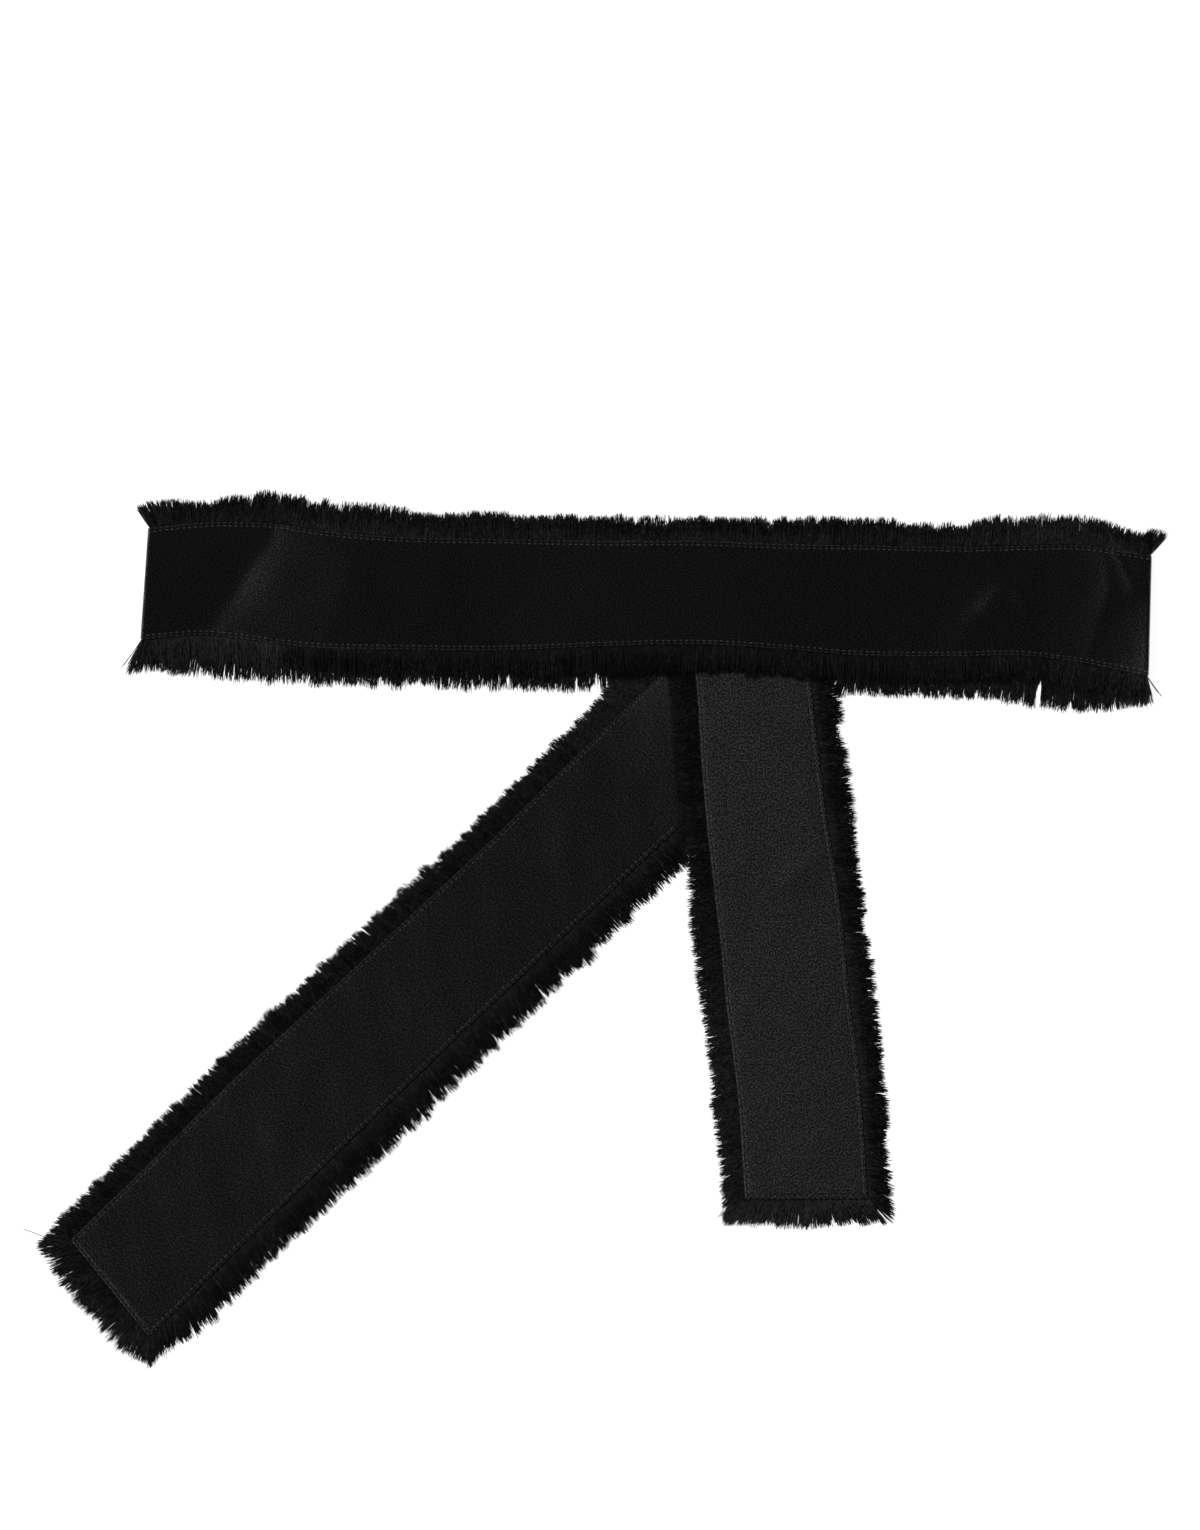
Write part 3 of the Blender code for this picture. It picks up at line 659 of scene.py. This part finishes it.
def stitches(cloth, seed):
    """The rows of stitches along a cloth's edges, each stitch dipping into the cloth at its ends."""
    rng = np.random.default_rng(seed)
    first, last = cloth.stations[0, 0], cloth.stations[-1, 0]
    steps = np.array(STITCH_STEPS) * STITCH_LENGTH
    heights = np.array(STITCH_HEIGHTS)[None, :]
    taper = np.array(STITCH_TAPER)
    lines, radii = [], []
    for inset, radius in zip(STITCH_ROWS, STITCH_RADII):
        for way in (-1, 1):
            stop = last - (inset if cloth.open_end else ROW_STOP)
            arc = np.arange(first + ROW_START, stop - STITCH_LENGTH / 2, STITCH_PITCH)
            arc = arc[:, None] + rng.normal(0.0, STITCH_SLIP, len(arc))[:, None] + steps[None, :]
            stray = rng.normal(0.0, STITCH_STRAY, (len(arc), 1))
            stray = stray + rng.normal(0.0, STITCH_TURN, (len(arc), 1)) * steps
            across = way * (1 - 2 * (inset + stray) / cloth.width(cloth.at(arc)[0]))
            lines.append(cloth.surface(arc, across, heights))
            radii.append(np.tile(radius * taper, (len(arc), 1)))
        if cloth.open_end:
            half = cloth.stretch.sections[-1].width / 2
            offset = np.arange(-half + inset + ROW_CORNER, half - inset - ROW_CORNER, STITCH_PITCH)
            offset = offset[:, None] + steps[None, :]
            arc = np.full(offset.shape, last - inset) + rng.normal(0.0, STITCH_STRAY, (len(offset), 1))
            lines.append(cloth.surface(arc, offset / half, heights))
            radii.append(np.tile(radius * taper, (len(arc), 1)))
    centres = np.concatenate(lines)
    # Each stitch gets a random amount of painted light, which adds to the painted glints in its colour.
    return tubes(centres, np.concatenate(radii), STITCH_SIDES, rng.uniform(0, 1, len(centres)))


def thread_roots(rng, first, last, density):
    """Where the threads start along an edge, and which of them are the mat's."""
    corners = CORNER_SPREAD * rng.uniform(0.0, 1.0, (2, CORNER_THREADS)) ** 2
    spread = rng.uniform(first, last, int((last - first) * density * (1 - MAT_SHARE)))
    mat_count = int((last - first) * density * MAT_SHARE)
    places = np.arange(mat_count) + rng.uniform(*MAT_SPACING, mat_count)
    mat_roots = first + places * (last - first) / mat_count
    roots = np.concatenate((mat_roots, spread, first + corners[0], last - corners[1]))
    return roots, np.arange(len(roots)) < mat_count


def gathered(rng, roots, first, last, gather):
    """The tufts along an edge, as what each thread has from its own."""
    bounds = [first]
    while bounds[-1] < last:
        bounds.append(bounds[-1] + rng.uniform(*TUFT_BREADTHS))
    bounds = np.array(bounds)
    member = np.clip(np.searchsorted(bounds, roots, side="right") - 1, 0, len(bounds) - 2)
    middle = (bounds[member] + bounds[member + 1]) / 2
    within = 2 * (roots - middle) / (bounds[member + 1] - bounds[member])
    leans = rng.normal(0.0, TUFT_LEAN, len(bounds) - 1)
    lean = np.interp(roots, (bounds[1:] + bounds[:-1]) / 2, leans)
    length = rng.normal(1.0, TUFT_LENGTH, len(bounds))
    draw = gather * rng.uniform(*GATHER_SPREAD, len(bounds))
    rise = rng.uniform(-TUFT_RISE, TUFT_RISE, len(bounds))
    shine = rng.uniform(-TUFT_PAINTED_LIGHT, TUFT_PAINTED_LIGHT, len(bounds))
    return Gathered(middle, within, lean, length[member], draw[member], rise[member], shine[member])


def ground_below(roots, beyond, shelves):
    """How high the threads lie at distances beyond the edge: on a shelf, or else on the ground."""
    ground = np.full(len(roots), THREAD_GROUND)
    for shelf in shelves:
        held = (roots > shelf.start) & (roots < shelf.stop) & (beyond < shelf.reach)
        ground = np.where(held, np.maximum(ground, shelf.height), ground)
    return ground


def fringe(edge, outward, tufts, density, seed, shelves=(), notches=(), gather=GATHER):
    """The threads of a fringe along an edge, gathered in uneven tufts.

    outward is 1 where the fringe is to the left of its edge and -1 where it is to the right. The
    shelves are what lies below it, and elsewhere it comes down to the ground.
    """
    rng = np.random.default_rng(seed)
    first, last = tufts[0].along, tufts[-1].along
    roots, mat = thread_roots(rng, first, last, density)
    count = len(roots)
    tuft = gathered(rng, roots, first, last, gather)

    row = smooth(tufts, roots)
    sweep = row[:, 2] + SWEEP * waves(rng, roots, 0.0, *SWEEP_LENGTHS, SWEEP_COUNT)
    length = row[:, 1] * tuft.length * (TUFT_REACH - TUFT_ROUNDING * np.abs(tuft.within) ** 4)
    length *= 1.0 - SHORTENING * rng.uniform(0, 1, count) ** SHORTENING_POWER
    length *= np.where(mat, MAT_REACH, 1.0)
    wild = (rng.uniform(0, 1, count) < WILD) & ~mat
    own_lean = rng.normal(0.0, 1.0, count) * np.where(mat, MAT_LEAN, LEAN_SPREAD)
    lean = np.radians(sweep + tuft.lean + own_lean)
    lean += np.where(wild, rng.normal(0.0, WILD_LEAN, count), 0.0)
    pull = (tuft.middle - roots) * tuft.draw
    for notch in notches:
        gap = (roots - notch.along) / notch.breadth
        pull += np.sign(gap) * notch.breadth * NOTCH_PUSH * np.exp(-(gap**2) / NOTCH_SPREAD)
        length *= 1.0 - notch.depth * np.exp(-(gap**2) * NOTCH_SHARPNESS)
    curl = rng.normal(0.0, CURL_SPREAD, count) * np.where(wild, WILD_CURL, 1.0) * np.where(mat, MAT_CURL, 1.0)

    ahead, behind, here = edge(roots + EDGE_PROBE), edge(roots - EDGE_PROBE), edge(roots)
    forward = ahead - behind
    forward[:, 2] = 0.0
    forward /= np.linalg.norm(forward, axis=1, keepdims=True)
    out = np.stack((-forward[:, 1], forward[:, 0], np.zeros(count)), axis=1) * outward

    level = np.where(wild, WILD_LEVEL, rng.uniform(0.0, 1.0, count)) * np.where(mat, MAT_LEVEL, 1.0)
    layer = here[:, 2] - LAYER_DROP + LAYER_SPREAD * level + tuft.rise
    droop = rng.uniform(*DROOP_SPREAD, count)
    run = ROOT_INSET + length
    centres = np.empty((count, len(THREAD_STEPS), 3))
    for index, step in enumerate(THREAD_STEPS):
        reach = run * step
        sway = pull * step**3 + curl * run * step**2
        place = here + out * (reach * np.cos(lean) - ROOT_INSET)[:, None]
        place += forward * (reach * np.sin(lean) + sway)[:, None]
        ground = ground_below(roots, reach - ROOT_INSET, shelves)
        pile = ground + PILE * level * (1.0 - PILE_FALL * step)
        height = np.maximum(layer - droop * (layer - pile) * ease(step), pile)
        place[:, 2] += (height - here[:, 2]) * float(ease(step / ROOT_SHARE))
        centres[:, index] = place
    thickness = THREAD_RADIUS * rng.uniform(*RADIUS_SPREAD, count) * np.where(mat, MAT_THICKNESS, 1.0)
    radii = thickness[:, None] * np.array(THREAD_TAPER)[None, :]
    # How much painted light lightens each thread's colour: its row's, its tuft's and a wild thread's extra,
    # mixed with a random share of its own.
    shine = np.clip(row[:, 3] + tuft.shine + np.where(wild, WILD_PAINTED_LIGHT, 0.0), 0.0, 1.0)
    shine = PAINTED_LIGHT_SHARES[0] * shine + PAINTED_LIGHT_SHARES[1] * rng.uniform(0.0, 1.0, count)
    return tubes(centres, radii, THREAD_SIDES, shine)


def principled(name):
    """A new material, its nodes, its links and its shader."""
    material = bpy.data.materials.new(name)
    material.use_nodes = True
    tree = material.node_tree
    return material, tree.nodes, tree.links, tree.nodes["Principled BSDF"]


def noise_in_weave(nodes, links, stretch, scale, detail):
    """A noise in the weave's coordinates, which take a factor across and one along the strip."""
    weave = nodes.new("ShaderNodeUVMap")
    weave.uv_map = "weave"
    mapping = nodes.new("ShaderNodeMapping")
    mapping.inputs["Scale"].default_value = (stretch[0], stretch[1], 1.0)
    noise = nodes.new("ShaderNodeTexNoise")
    noise.inputs["Scale"].default_value = scale
    noise.inputs["Detail"].default_value = detail
    links.new(weave.outputs["UV"], mapping.inputs["Vector"])
    links.new(mapping.outputs["Vector"], noise.inputs["Vector"])
    return noise.outputs["Fac"]


def ramp(nodes, links, value, low, high, stops):
    """A colour ramp between two colours over a stretch of a value."""
    node = nodes.new("ShaderNodeValToRGB")
    node.color_ramp.elements[0].position, node.color_ramp.elements[1].position = stops
    node.color_ramp.elements[0].color = (*low, 1.0)
    node.color_ramp.elements[1].color = (*high, 1.0)
    links.new(value, node.inputs["Fac"])
    return node.outputs["Color"]


def map_range(nodes, links, value, low, high, start=0.0, stop=1.0):
    """A value from start to stop, turned into one from low to high."""
    node = nodes.new("ShaderNodeMapRange")
    for name, limit in (("From Min", start), ("From Max", stop), ("To Min", low), ("To Max", high)):
        node.inputs[name].default_value = limit
    links.new(value, node.inputs["Value"])
    return node.outputs["Result"]


def satin_material():
    """Black satin: its floats run along the strip, so it shines across it, over a fine uneven grain."""
    material, nodes, links, shader = principled("black_satin")
    grain = noise_in_weave(nodes, links, (1.0, GRAIN_STRETCH), GRAIN_SCALE, 2.0)
    floats = noise_in_weave(nodes, links, (1.0, FLOAT_STRETCH), FLOAT_SCALE, 1.0)
    patches = noise_in_weave(nodes, links, (1.0, PATCH_STRETCH), PATCH_SCALE, 3.0)
    speckle = noise_in_weave(nodes, links, (1.0, SPECKLE_STRETCH), SPECKLE_SCALE, 2.0)
    links.new(ramp(nodes, links, speckle, *SPECKLE_TINTS, SPECKLE_STOPS), shader.inputs["Base Color"])
    low, high = SATIN_ROUGHNESS - ROUGHNESS_SPREAD, SATIN_ROUGHNESS + ROUGHNESS_SPREAD
    links.new(map_range(nodes, links, patches, low, high, *PATCH_RANGE), shader.inputs["Roughness"])
    normal = None
    for height, distance in ((grain, GRAIN_HEIGHT), (floats, FLOAT_HEIGHT)):
        bump = nodes.new("ShaderNodeBump")
        bump.inputs["Strength"].default_value = 1.0
        bump.inputs["Distance"].default_value = distance * MM
        links.new(height, bump.inputs["Height"])
        if normal is not None:
            links.new(normal, bump.inputs["Normal"])
        normal = bump.outputs["Normal"]
    links.new(normal, shader.inputs["Normal"])
    tangent = nodes.new("ShaderNodeTangent")
    tangent.direction_type = "UV_MAP"
    tangent.uv_map = "weave"
    links.new(tangent.outputs["Tangent"], shader.inputs["Tangent"])
    shader.inputs["Anisotropic"].default_value = SATIN_ANISOTROPY
    shader.inputs["Metallic"].default_value = 1.0
    shader.inputs["Coat Weight"].default_value = BLOOM
    shader.inputs["Coat Roughness"].default_value = BLOOM_ROUGHNESS
    return material


def thread_material(name, dark, light, stops, roughness, specular):
    """Black thread with painted glints, lighter specks that stand for light caught by its twist, more of them
    on threads with more painted light.
    """
    material, nodes, links, shader = principled(name)
    specks = noise_in_weave(nodes, links, (TWIST_AND_GLINT_THREADS, TWIST_AND_GLINT_SPECKS), 1.0, 1.0)
    place = nodes.new("ShaderNodeUVMap")
    place.uv_map = "weave"
    split = nodes.new("ShaderNodeSeparateXYZ")
    links.new(place.outputs["UV"], split.inputs["Vector"])
    # The painted glints: a thread's painted light, weighted, added to the specks.
    glint_level = nodes.new("ShaderNodeMath")
    glint_level.operation = "MULTIPLY_ADD"
    glint_level.inputs[1].default_value = PAINTED_LIGHT_WEIGHT
    links.new(split.outputs["X"], glint_level.inputs[0])
    links.new(specks, glint_level.inputs[2])
    links.new(ramp(nodes, links, glint_level.outputs["Value"], dark, light, stops), shader.inputs["Base Color"])
    low, high = roughness + TWIST_ROUGHNESS, roughness - TWIST_ROUGHNESS
    links.new(map_range(nodes, links, specks, low, high), shader.inputs["Roughness"])
    shader.inputs["Specular IOR Level"].default_value = specular
    return material


SATIN = satin_material()
THREAD = thread_material("fringe_thread", *FRINGE_BLACK_AND_GLINT_TINTS, FRINGE_GLINT_STOPS, roughness=0.44, specular=0.3)
SEWING = thread_material("sewing_thread", *SEWING_TINTS_AND_GLINTS, SEWING_GLINT_STOPS, roughness=0.4, specular=0.4)


def cloth_piece(cloth, node):
    """A cloth with its stitches, in place of its solid, in metres."""
    points, faces, weave = cloth_grid(cloth)
    piece = mesh_piece(cloth.name, points, faces, SATIN, weave)
    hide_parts(node)
    points, faces, shares = stitches(cloth, cloth.seed + 100)
    sewing = mesh_piece(cloth.name + "_stitches", points, faces, SEWING, shares)
    return piece


def fringe_piece(node, edge, outward, tufts, density, seed, **looks):
    """A fringe in place of its solid."""
    points, faces, shares = fringe(edge, outward, tufts, density, seed, **looks)
    piece = mesh_piece(node + "_threads", points, faces, THREAD, shares)
    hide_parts(node)
    return piece


def side(cloth, which):
    """A side edge as a function of the distance along its arc."""
    return lambda arc: cloth.edge(arc, which)


def build_front():
    """The front stretch, which turns round a fold at each end, and its two fringes."""
    front = Cloth("front_satin", FRONT, folded(FRONT), FRONT_CREASES, seed=1)
    shift = float(np.interp(0.0, front.stations[:, 1], front.stations[:, 0]))

    def shifted(kind, *rows):
        """Rows of a table, from distances along the front to arc lengths."""
        return [kind(along + shift, *rest) for along, *rest in rows]

    def shelf(start, stop, reach, height):
        return Shelf(start + shift, stop + shift, reach, height)

    backs = shelf(-210.0, 250.0, 20.0, 1.6)
    top = fringe_piece("fringe_front_top", side(front, 1), 1, shifted(
        Tuft,
        (-197.0, 10.6, -22.0, 0.3), (-188.0, 12.3, -8.0, 0.3), (-172.2, 9.7, 0.0, 0.3),
        (-162.8, 12.1, 3.0, 0.3), (-146.0, 13.7, 2.0, 0.35), (-129.0, 13.3, 0.0, 0.55),
        (-116.0, 14.0, 0.0, 0.6), (-86.0, 13.9, 0.0, 0.6), (-81.0, 11.8, 0.0, 0.55),
        (-64.7, 11.4, -3.0, 0.5), (-51.8, 13.1, 0.0, 0.5), (-34.6, 11.2, 0.0, 0.5),
        (-17.4, 11.5, 0.0, 0.5), (0.0, 10.0, 0.0, 0.45), (27.0, 8.3, 0.0, 0.4),
        (35.0, 10.8, 0.0, 0.45), (60.0, 11.0, 0.0, 0.45), (76.0, 11.9, 2.0, 0.45),
        (98.7, 12.8, 2.0, 0.45), (123.6, 11.9, 0.0, 0.45), (142.0, 8.7, 0.0, 0.45),
        (151.0, 8.3, 0.0, 0.45), (163.2, 12.7, 0.0, 0.55), (197.6, 13.3, 3.0, 0.65),
        (217.0, 12.6, 4.0, 0.65), (227.0, 10.0, 10.0, 0.6), (233.0, 12.4, 20.0, 0.5),
        (237.0, 12.0, 28.0, 0.5),
    ), FULL_DENSITY, 11, shelves=(backs, shelf(14.0, 105.0, 3.0, 4.2)), notches=shifted(
        Notch, (71.6, 1.8, 0.4), (20.0, 1.6, 0.2), (-152.0, 1.2, 0.25),
    ))
    bottom = fringe_piece("fringe_front_bottom", side(front, -1), -1, shifted(
        Tuft,
        (-197.0, 17.6, -24.0, 0.5), (-189.0, 13.6, -11.0, 0.8), (-172.0, 12.4, 0.0, 0.9),
        (-150.0, 12.4, 10.0, 0.95), (-138.0, 12.4, 8.0, 0.8), (-128.0, 12.3, 2.0, 0.2),
        (-108.0, 12.4, 0.0, 0.08), (-52.0, 12.6, 0.0, 0.08), (8.4, 14.8, 0.0, 0.08),
        (41.5, 13.3, 0.0, 0.08), (85.8, 13.0, 0.0, 0.08), (150.0, 12.3, 0.0, 0.08),
        (190.0, 11.8, 0.0, 0.25), (206.0, 13.0, 0.0, 0.4), (230.0, 14.2, 4.0, 0.5),
        (237.0, 14.0, 8.0, 0.4),
    ), FULL_DENSITY, 12, shelves=(backs, shelf(14.0, 105.0, 7.0, 4.2), shelf(34.0, 112.0, 20.0, 3.1)))
    cloth_piece(front, "band_front")


def build_backs():
    """The stretches that lie on the ground below the front, and their fringes."""
    left = Cloth("back_left_satin", BACK_LEFT, lying(BACK_LEFT), seed=2)
    fringes = [
        fringe_piece("fringe_back_left_top", side(left, 1), 1,
                     [Tuft(-184.0, 11.4, -6.0), Tuft(14.0, 11.4, 0.0)], HIDDEN_DENSITY, 21),
        fringe_piece("fringe_back_left_bottom", side(left, -1), -1, [
            Tuft(-184.0, 13.6, -10.0), Tuft(-150.0, 14.2, 0.0), Tuft(-100.0, 14.4, 0.0),
            Tuft(14.0, 14.2, 0.0),
        ], BACK_LEFT_DENSITY, 22, notches=(Notch(-39.8, 1.2, 0.4), Notch(-1.5, 1.0, 0.6)), gather=0.15),
    ]
    cloth_piece(left, "band_back_left")
    right = Cloth("back_right_satin", BACK_RIGHT, lying(BACK_RIGHT), seed=3)
    fringes = [
        fringe_piece("fringe_back_right_top", side(right, 1), 1,
                     [Tuft(105.5, 11.4, 0.0), Tuft(225.0, 11.4, 6.0)], HIDDEN_DENSITY, 23),
        fringe_piece("fringe_back_right_bottom", side(right, -1), -1, [
            Tuft(104.6, 13.8, -22.0), Tuft(112.0, 13.6, -4.0), Tuft(150.0, 13.4, 0.0), Tuft(166.0, 13.4, 0.0),
            Tuft(187.0, 14.2, 0.0), Tuft(215.0, 13.8, 0.0), Tuft(226.0, 13.4, 16.0),
        ], BACK_RIGHT_DENSITY, 24, notches=(Notch(189.4, 1.3, 0.8),), gather=0.15),
    ]
    cloth_piece(right, "band_back_right")


def build_crossing():
    """The folded layers below the middle of the front."""
    parts = []
    for level in range(CROSSING_LAYERS):
        narrower = 2 * (CROSSING_INSET * level)
        lift = CROSSING_RISE * level
        shorter = CROSSING_SHORTENING * level
        rows = [row._replace(width=row.width - narrower, lift=lift) for row in CROSSING.sections]
        rows[0] = rows[0]._replace(along=rows[0].along + shorter)
        rows[-1] = rows[-1]._replace(along=rows[-1].along - shorter)
        layer = Stretch(CROSSING.start, CROSSING.heading, tuple(rows))
        parts.append(cloth_grid(Cloth("layer", layer, lying(layer), seed=4 + level)))
    points = np.concatenate([part[0] for part in parts])
    starts = np.cumsum([0] + [len(part[0]) for part in parts[:-1]])
    faces = [np.concatenate([part[1][0] + start for part, start in zip(parts, starts)])]
    weave = np.concatenate([part[2] for part in parts])
    piece = mesh_piece("crossing_satin", points, faces, SATIN, weave)
    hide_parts("crossing")
    bottom = Cloth("layer", CROSSING, lying(CROSSING), seed=4)
    threads = fringe_piece("fringe_crossing", side(bottom, 1), 1,
                           [Tuft(17.0, 11.4, 0.0), Tuft(103.0, 11.4, 0.0)], CROSSING_DENSITY, 25)


def build_tails():
    """The two tails and the fringes round them."""
    stations = lying(TAIL_LEFT, open_end=True)
    left = Cloth("tail_left_satin", TAIL_LEFT, stations, TAIL_LEFT_CREASES, seed=7, open_end=True)
    fringes = [
        fringe_piece("fringe_tail_left_outer", side(left, -1), -1, [
            Tuft(-24.8, 15.6, 42.0, 0.5), Tuft(4.0, 15.0, 30.0, 0.8), Tuft(30.0, 12.0, 14.0, 0.7),
            Tuft(60.0, 11.9, 12.0, 0.5), Tuft(170.0, 11.6, 10.0, 0.45), Tuft(300.0, 11.6, 12.0, 0.4),
            Tuft(334.0, 11.8, 16.0, 0.4), Tuft(358.4, 13.2, 44.0, 0.4),
        ], FULL_DENSITY, 31),
        fringe_piece("fringe_tail_left_inner", side(left, 1), 1, [
            Tuft(-2.0, 15.5, 0.0, 0.2), Tuft(180.0, 16.5, 6.0, 0.25), Tuft(310.0, 15.7, 10.0, 0.25),
            Tuft(338.0, 15.5, 16.0, 0.3), Tuft(358.4, 11.6, 42.0, 0.3),
        ], FULL_DENSITY, 32),
        fringe_piece("fringe_tail_left_end", left.end, -1, [
            Tuft(-26.8, 15.8, -34.0, 0.5), Tuft(-12.0, 16.4, -8.0, 0.5), Tuft(0.0, 15.4, 0.0, 0.5),
            Tuft(14.0, 15.6, 8.0, 0.5), Tuft(26.8, 11.6, 42.0, 0.5),
        ], FULL_DENSITY, 33),
    ]
    cloth_piece(left, "tail_left")
    stations = lying(TAIL_RIGHT, open_end=True)
    right = Cloth("tail_right_satin", TAIL_RIGHT, stations, TAIL_RIGHT_CREASES, seed=8, open_end=True)
    below = (Shelf(0.0, 84.0, 20.0, 1.45), Shelf(84.0, 96.0, 20.0, 0.9))
    fringes = [
        fringe_piece("fringe_tail_right_left", side(right, -1), -1, [
            Tuft(-0.4, 12.9, 4.0, 0.2), Tuft(30.0, 12.6, 4.0, 0.25), Tuft(90.0, 12.1, 5.0, 0.35),
            Tuft(112.0, 13.1, 6.0, 0.45), Tuft(130.0, 12.9, 7.0, 0.6), Tuft(146.0, 12.0, 8.0, 0.7),
            Tuft(190.0, 12.2, 10.0, 0.75), Tuft(208.0, 11.7, 10.0, 0.75), Tuft(226.0, 12.5, 34.0, 0.7),
            Tuft(232.2, 14.3, 44.0, 0.7),
        ], FULL_DENSITY, 34, shelves=below),
        fringe_piece("fringe_tail_right_right", side(right, 1), 1, [
            Tuft(-0.4, 11.9, -10.0, 0.3), Tuft(20.6, 12.9, 2.0, 0.3), Tuft(31.3, 10.9, 4.0, 0.3),
            Tuft(38.6, 13.3, 5.0, 0.35), Tuft(55.0, 13.4, 6.0, 0.35), Tuft(68.0, 12.8, 7.0, 0.35),
            Tuft(85.0, 11.5, 8.0, 0.35), Tuft(102.0, 12.0, 8.0, 0.4), Tuft(113.3, 9.7, 8.0, 0.4),
            Tuft(120.0, 10.9, 8.0, 0.4), Tuft(131.0, 12.6, 8.0, 0.4), Tuft(150.0, 12.6, 8.0, 0.4),
            Tuft(180.0, 11.7, 9.0, 0.4), Tuft(197.0, 12.5, 10.0, 0.4), Tuft(204.0, 11.0, 12.0, 0.4),
            Tuft(224.0, 13.5, 30.0, 0.4), Tuft(232.2, 15.5, 40.0, 0.4),
        ], FULL_DENSITY, 35, shelves=below),
        fringe_piece("fringe_tail_right_end", right.end, -1, [
            Tuft(-26.4, 13.8, -36.0, 0.9), Tuft(0.0, 12.4, 0.0, 1.0), Tuft(26.4, 13.2, 36.0, 0.8),
        ], FULL_DENSITY, 36),
    ]
    cloth_piece(right, "tail_right")


def build_floor():
    """A plain white floor, bright enough to look white all over."""
    bpy.ops.mesh.primitive_plane_add(size=FLOOR_SIZE)
    floor = bpy.context.object
    floor.name = "floor"
    material, _, _, shader = principled("white_floor")
    shader.inputs["Base Color"].default_value = (FLOOR_GREY, FLOOR_GREY, FLOOR_GREY, 1.0)
    shader.inputs["Roughness"].default_value = 0.9
    shader.inputs["Specular IOR Level"].default_value = 0.1
    shader.inputs["Emission Color"].default_value = (1.0, 1.0, 1.0, 1.0)
    shader.inputs["Emission Strength"].default_value = FLOOR_GLOW
    floor.data.materials.append(material)


def build_light():
    """Two soft lights, and the sky."""
    for way, watts in ((-1, LEFT_WATTS), (1, RIGHT_WATTS)):
        light = bpy.data.lights.new("side_light", "AREA")
        light.size = SIDE_LIGHT_SIZE
        light.energy = watts
        lamp = bpy.data.objects.new("side_light", light)
        x, y, z = SIDE_LIGHT_PLACE
        lamp.location = (way * x, y, z)
        lamp.rotation_euler = (0.0, way * math.atan2(x, z), 0.0)
        lamp.visible_camera = False
        bpy.context.collection.objects.link(lamp)
    world = bpy.data.worlds.new("sky")
    bpy.context.scene.world = world
    world.use_nodes = True
    nodes, links = world.node_tree.nodes, world.node_tree.links
    place = nodes.new("ShaderNodeTexCoord")
    split = nodes.new("ShaderNodeSeparateXYZ")
    links.new(place.outputs["Generated"], split.inputs["Vector"])
    strength = map_range(nodes, links, split.outputs["Z"], SKY_LOW, SKY_HIGH, stop=SKY_DARK_HEIGHT)
    links.new(strength, nodes["Background"].inputs["Strength"])
    nodes["Background"].inputs["Color"].default_value = (1.0, 1.0, 1.0, 1.0)


def build_camera():
    """The camera, as far up as the lens needs for the photograph's frame."""
    camera = bpy.data.cameras.new("camera")
    camera.lens = LENS
    camera.sensor_width = SENSOR
    holder = bpy.data.objects.new("camera", camera)
    x = (PHOTO_WIDTH / 2 - ZERO_PIXEL[0]) * MM_PER_PIXEL - OUTLINE_MIDDLE[0]
    y = (ZERO_PIXEL[1] - PHOTO_HEIGHT / 2) * MM_PER_PIXEL - OUTLINE_MIDDLE[1]
    z = PHOTO_HEIGHT * MM_PER_PIXEL * LENS / SENSOR + TARGET_HEIGHT
    holder.location = (x * MM, y * MM, z * MM)
    bpy.context.collection.objects.link(holder)
    bpy.context.scene.camera = holder


build_camera()
build_front()
build_backs()
build_crossing()
build_tails()
build_floor()
build_light()
bpy.context.scene.view_settings.view_transform = "Standard"
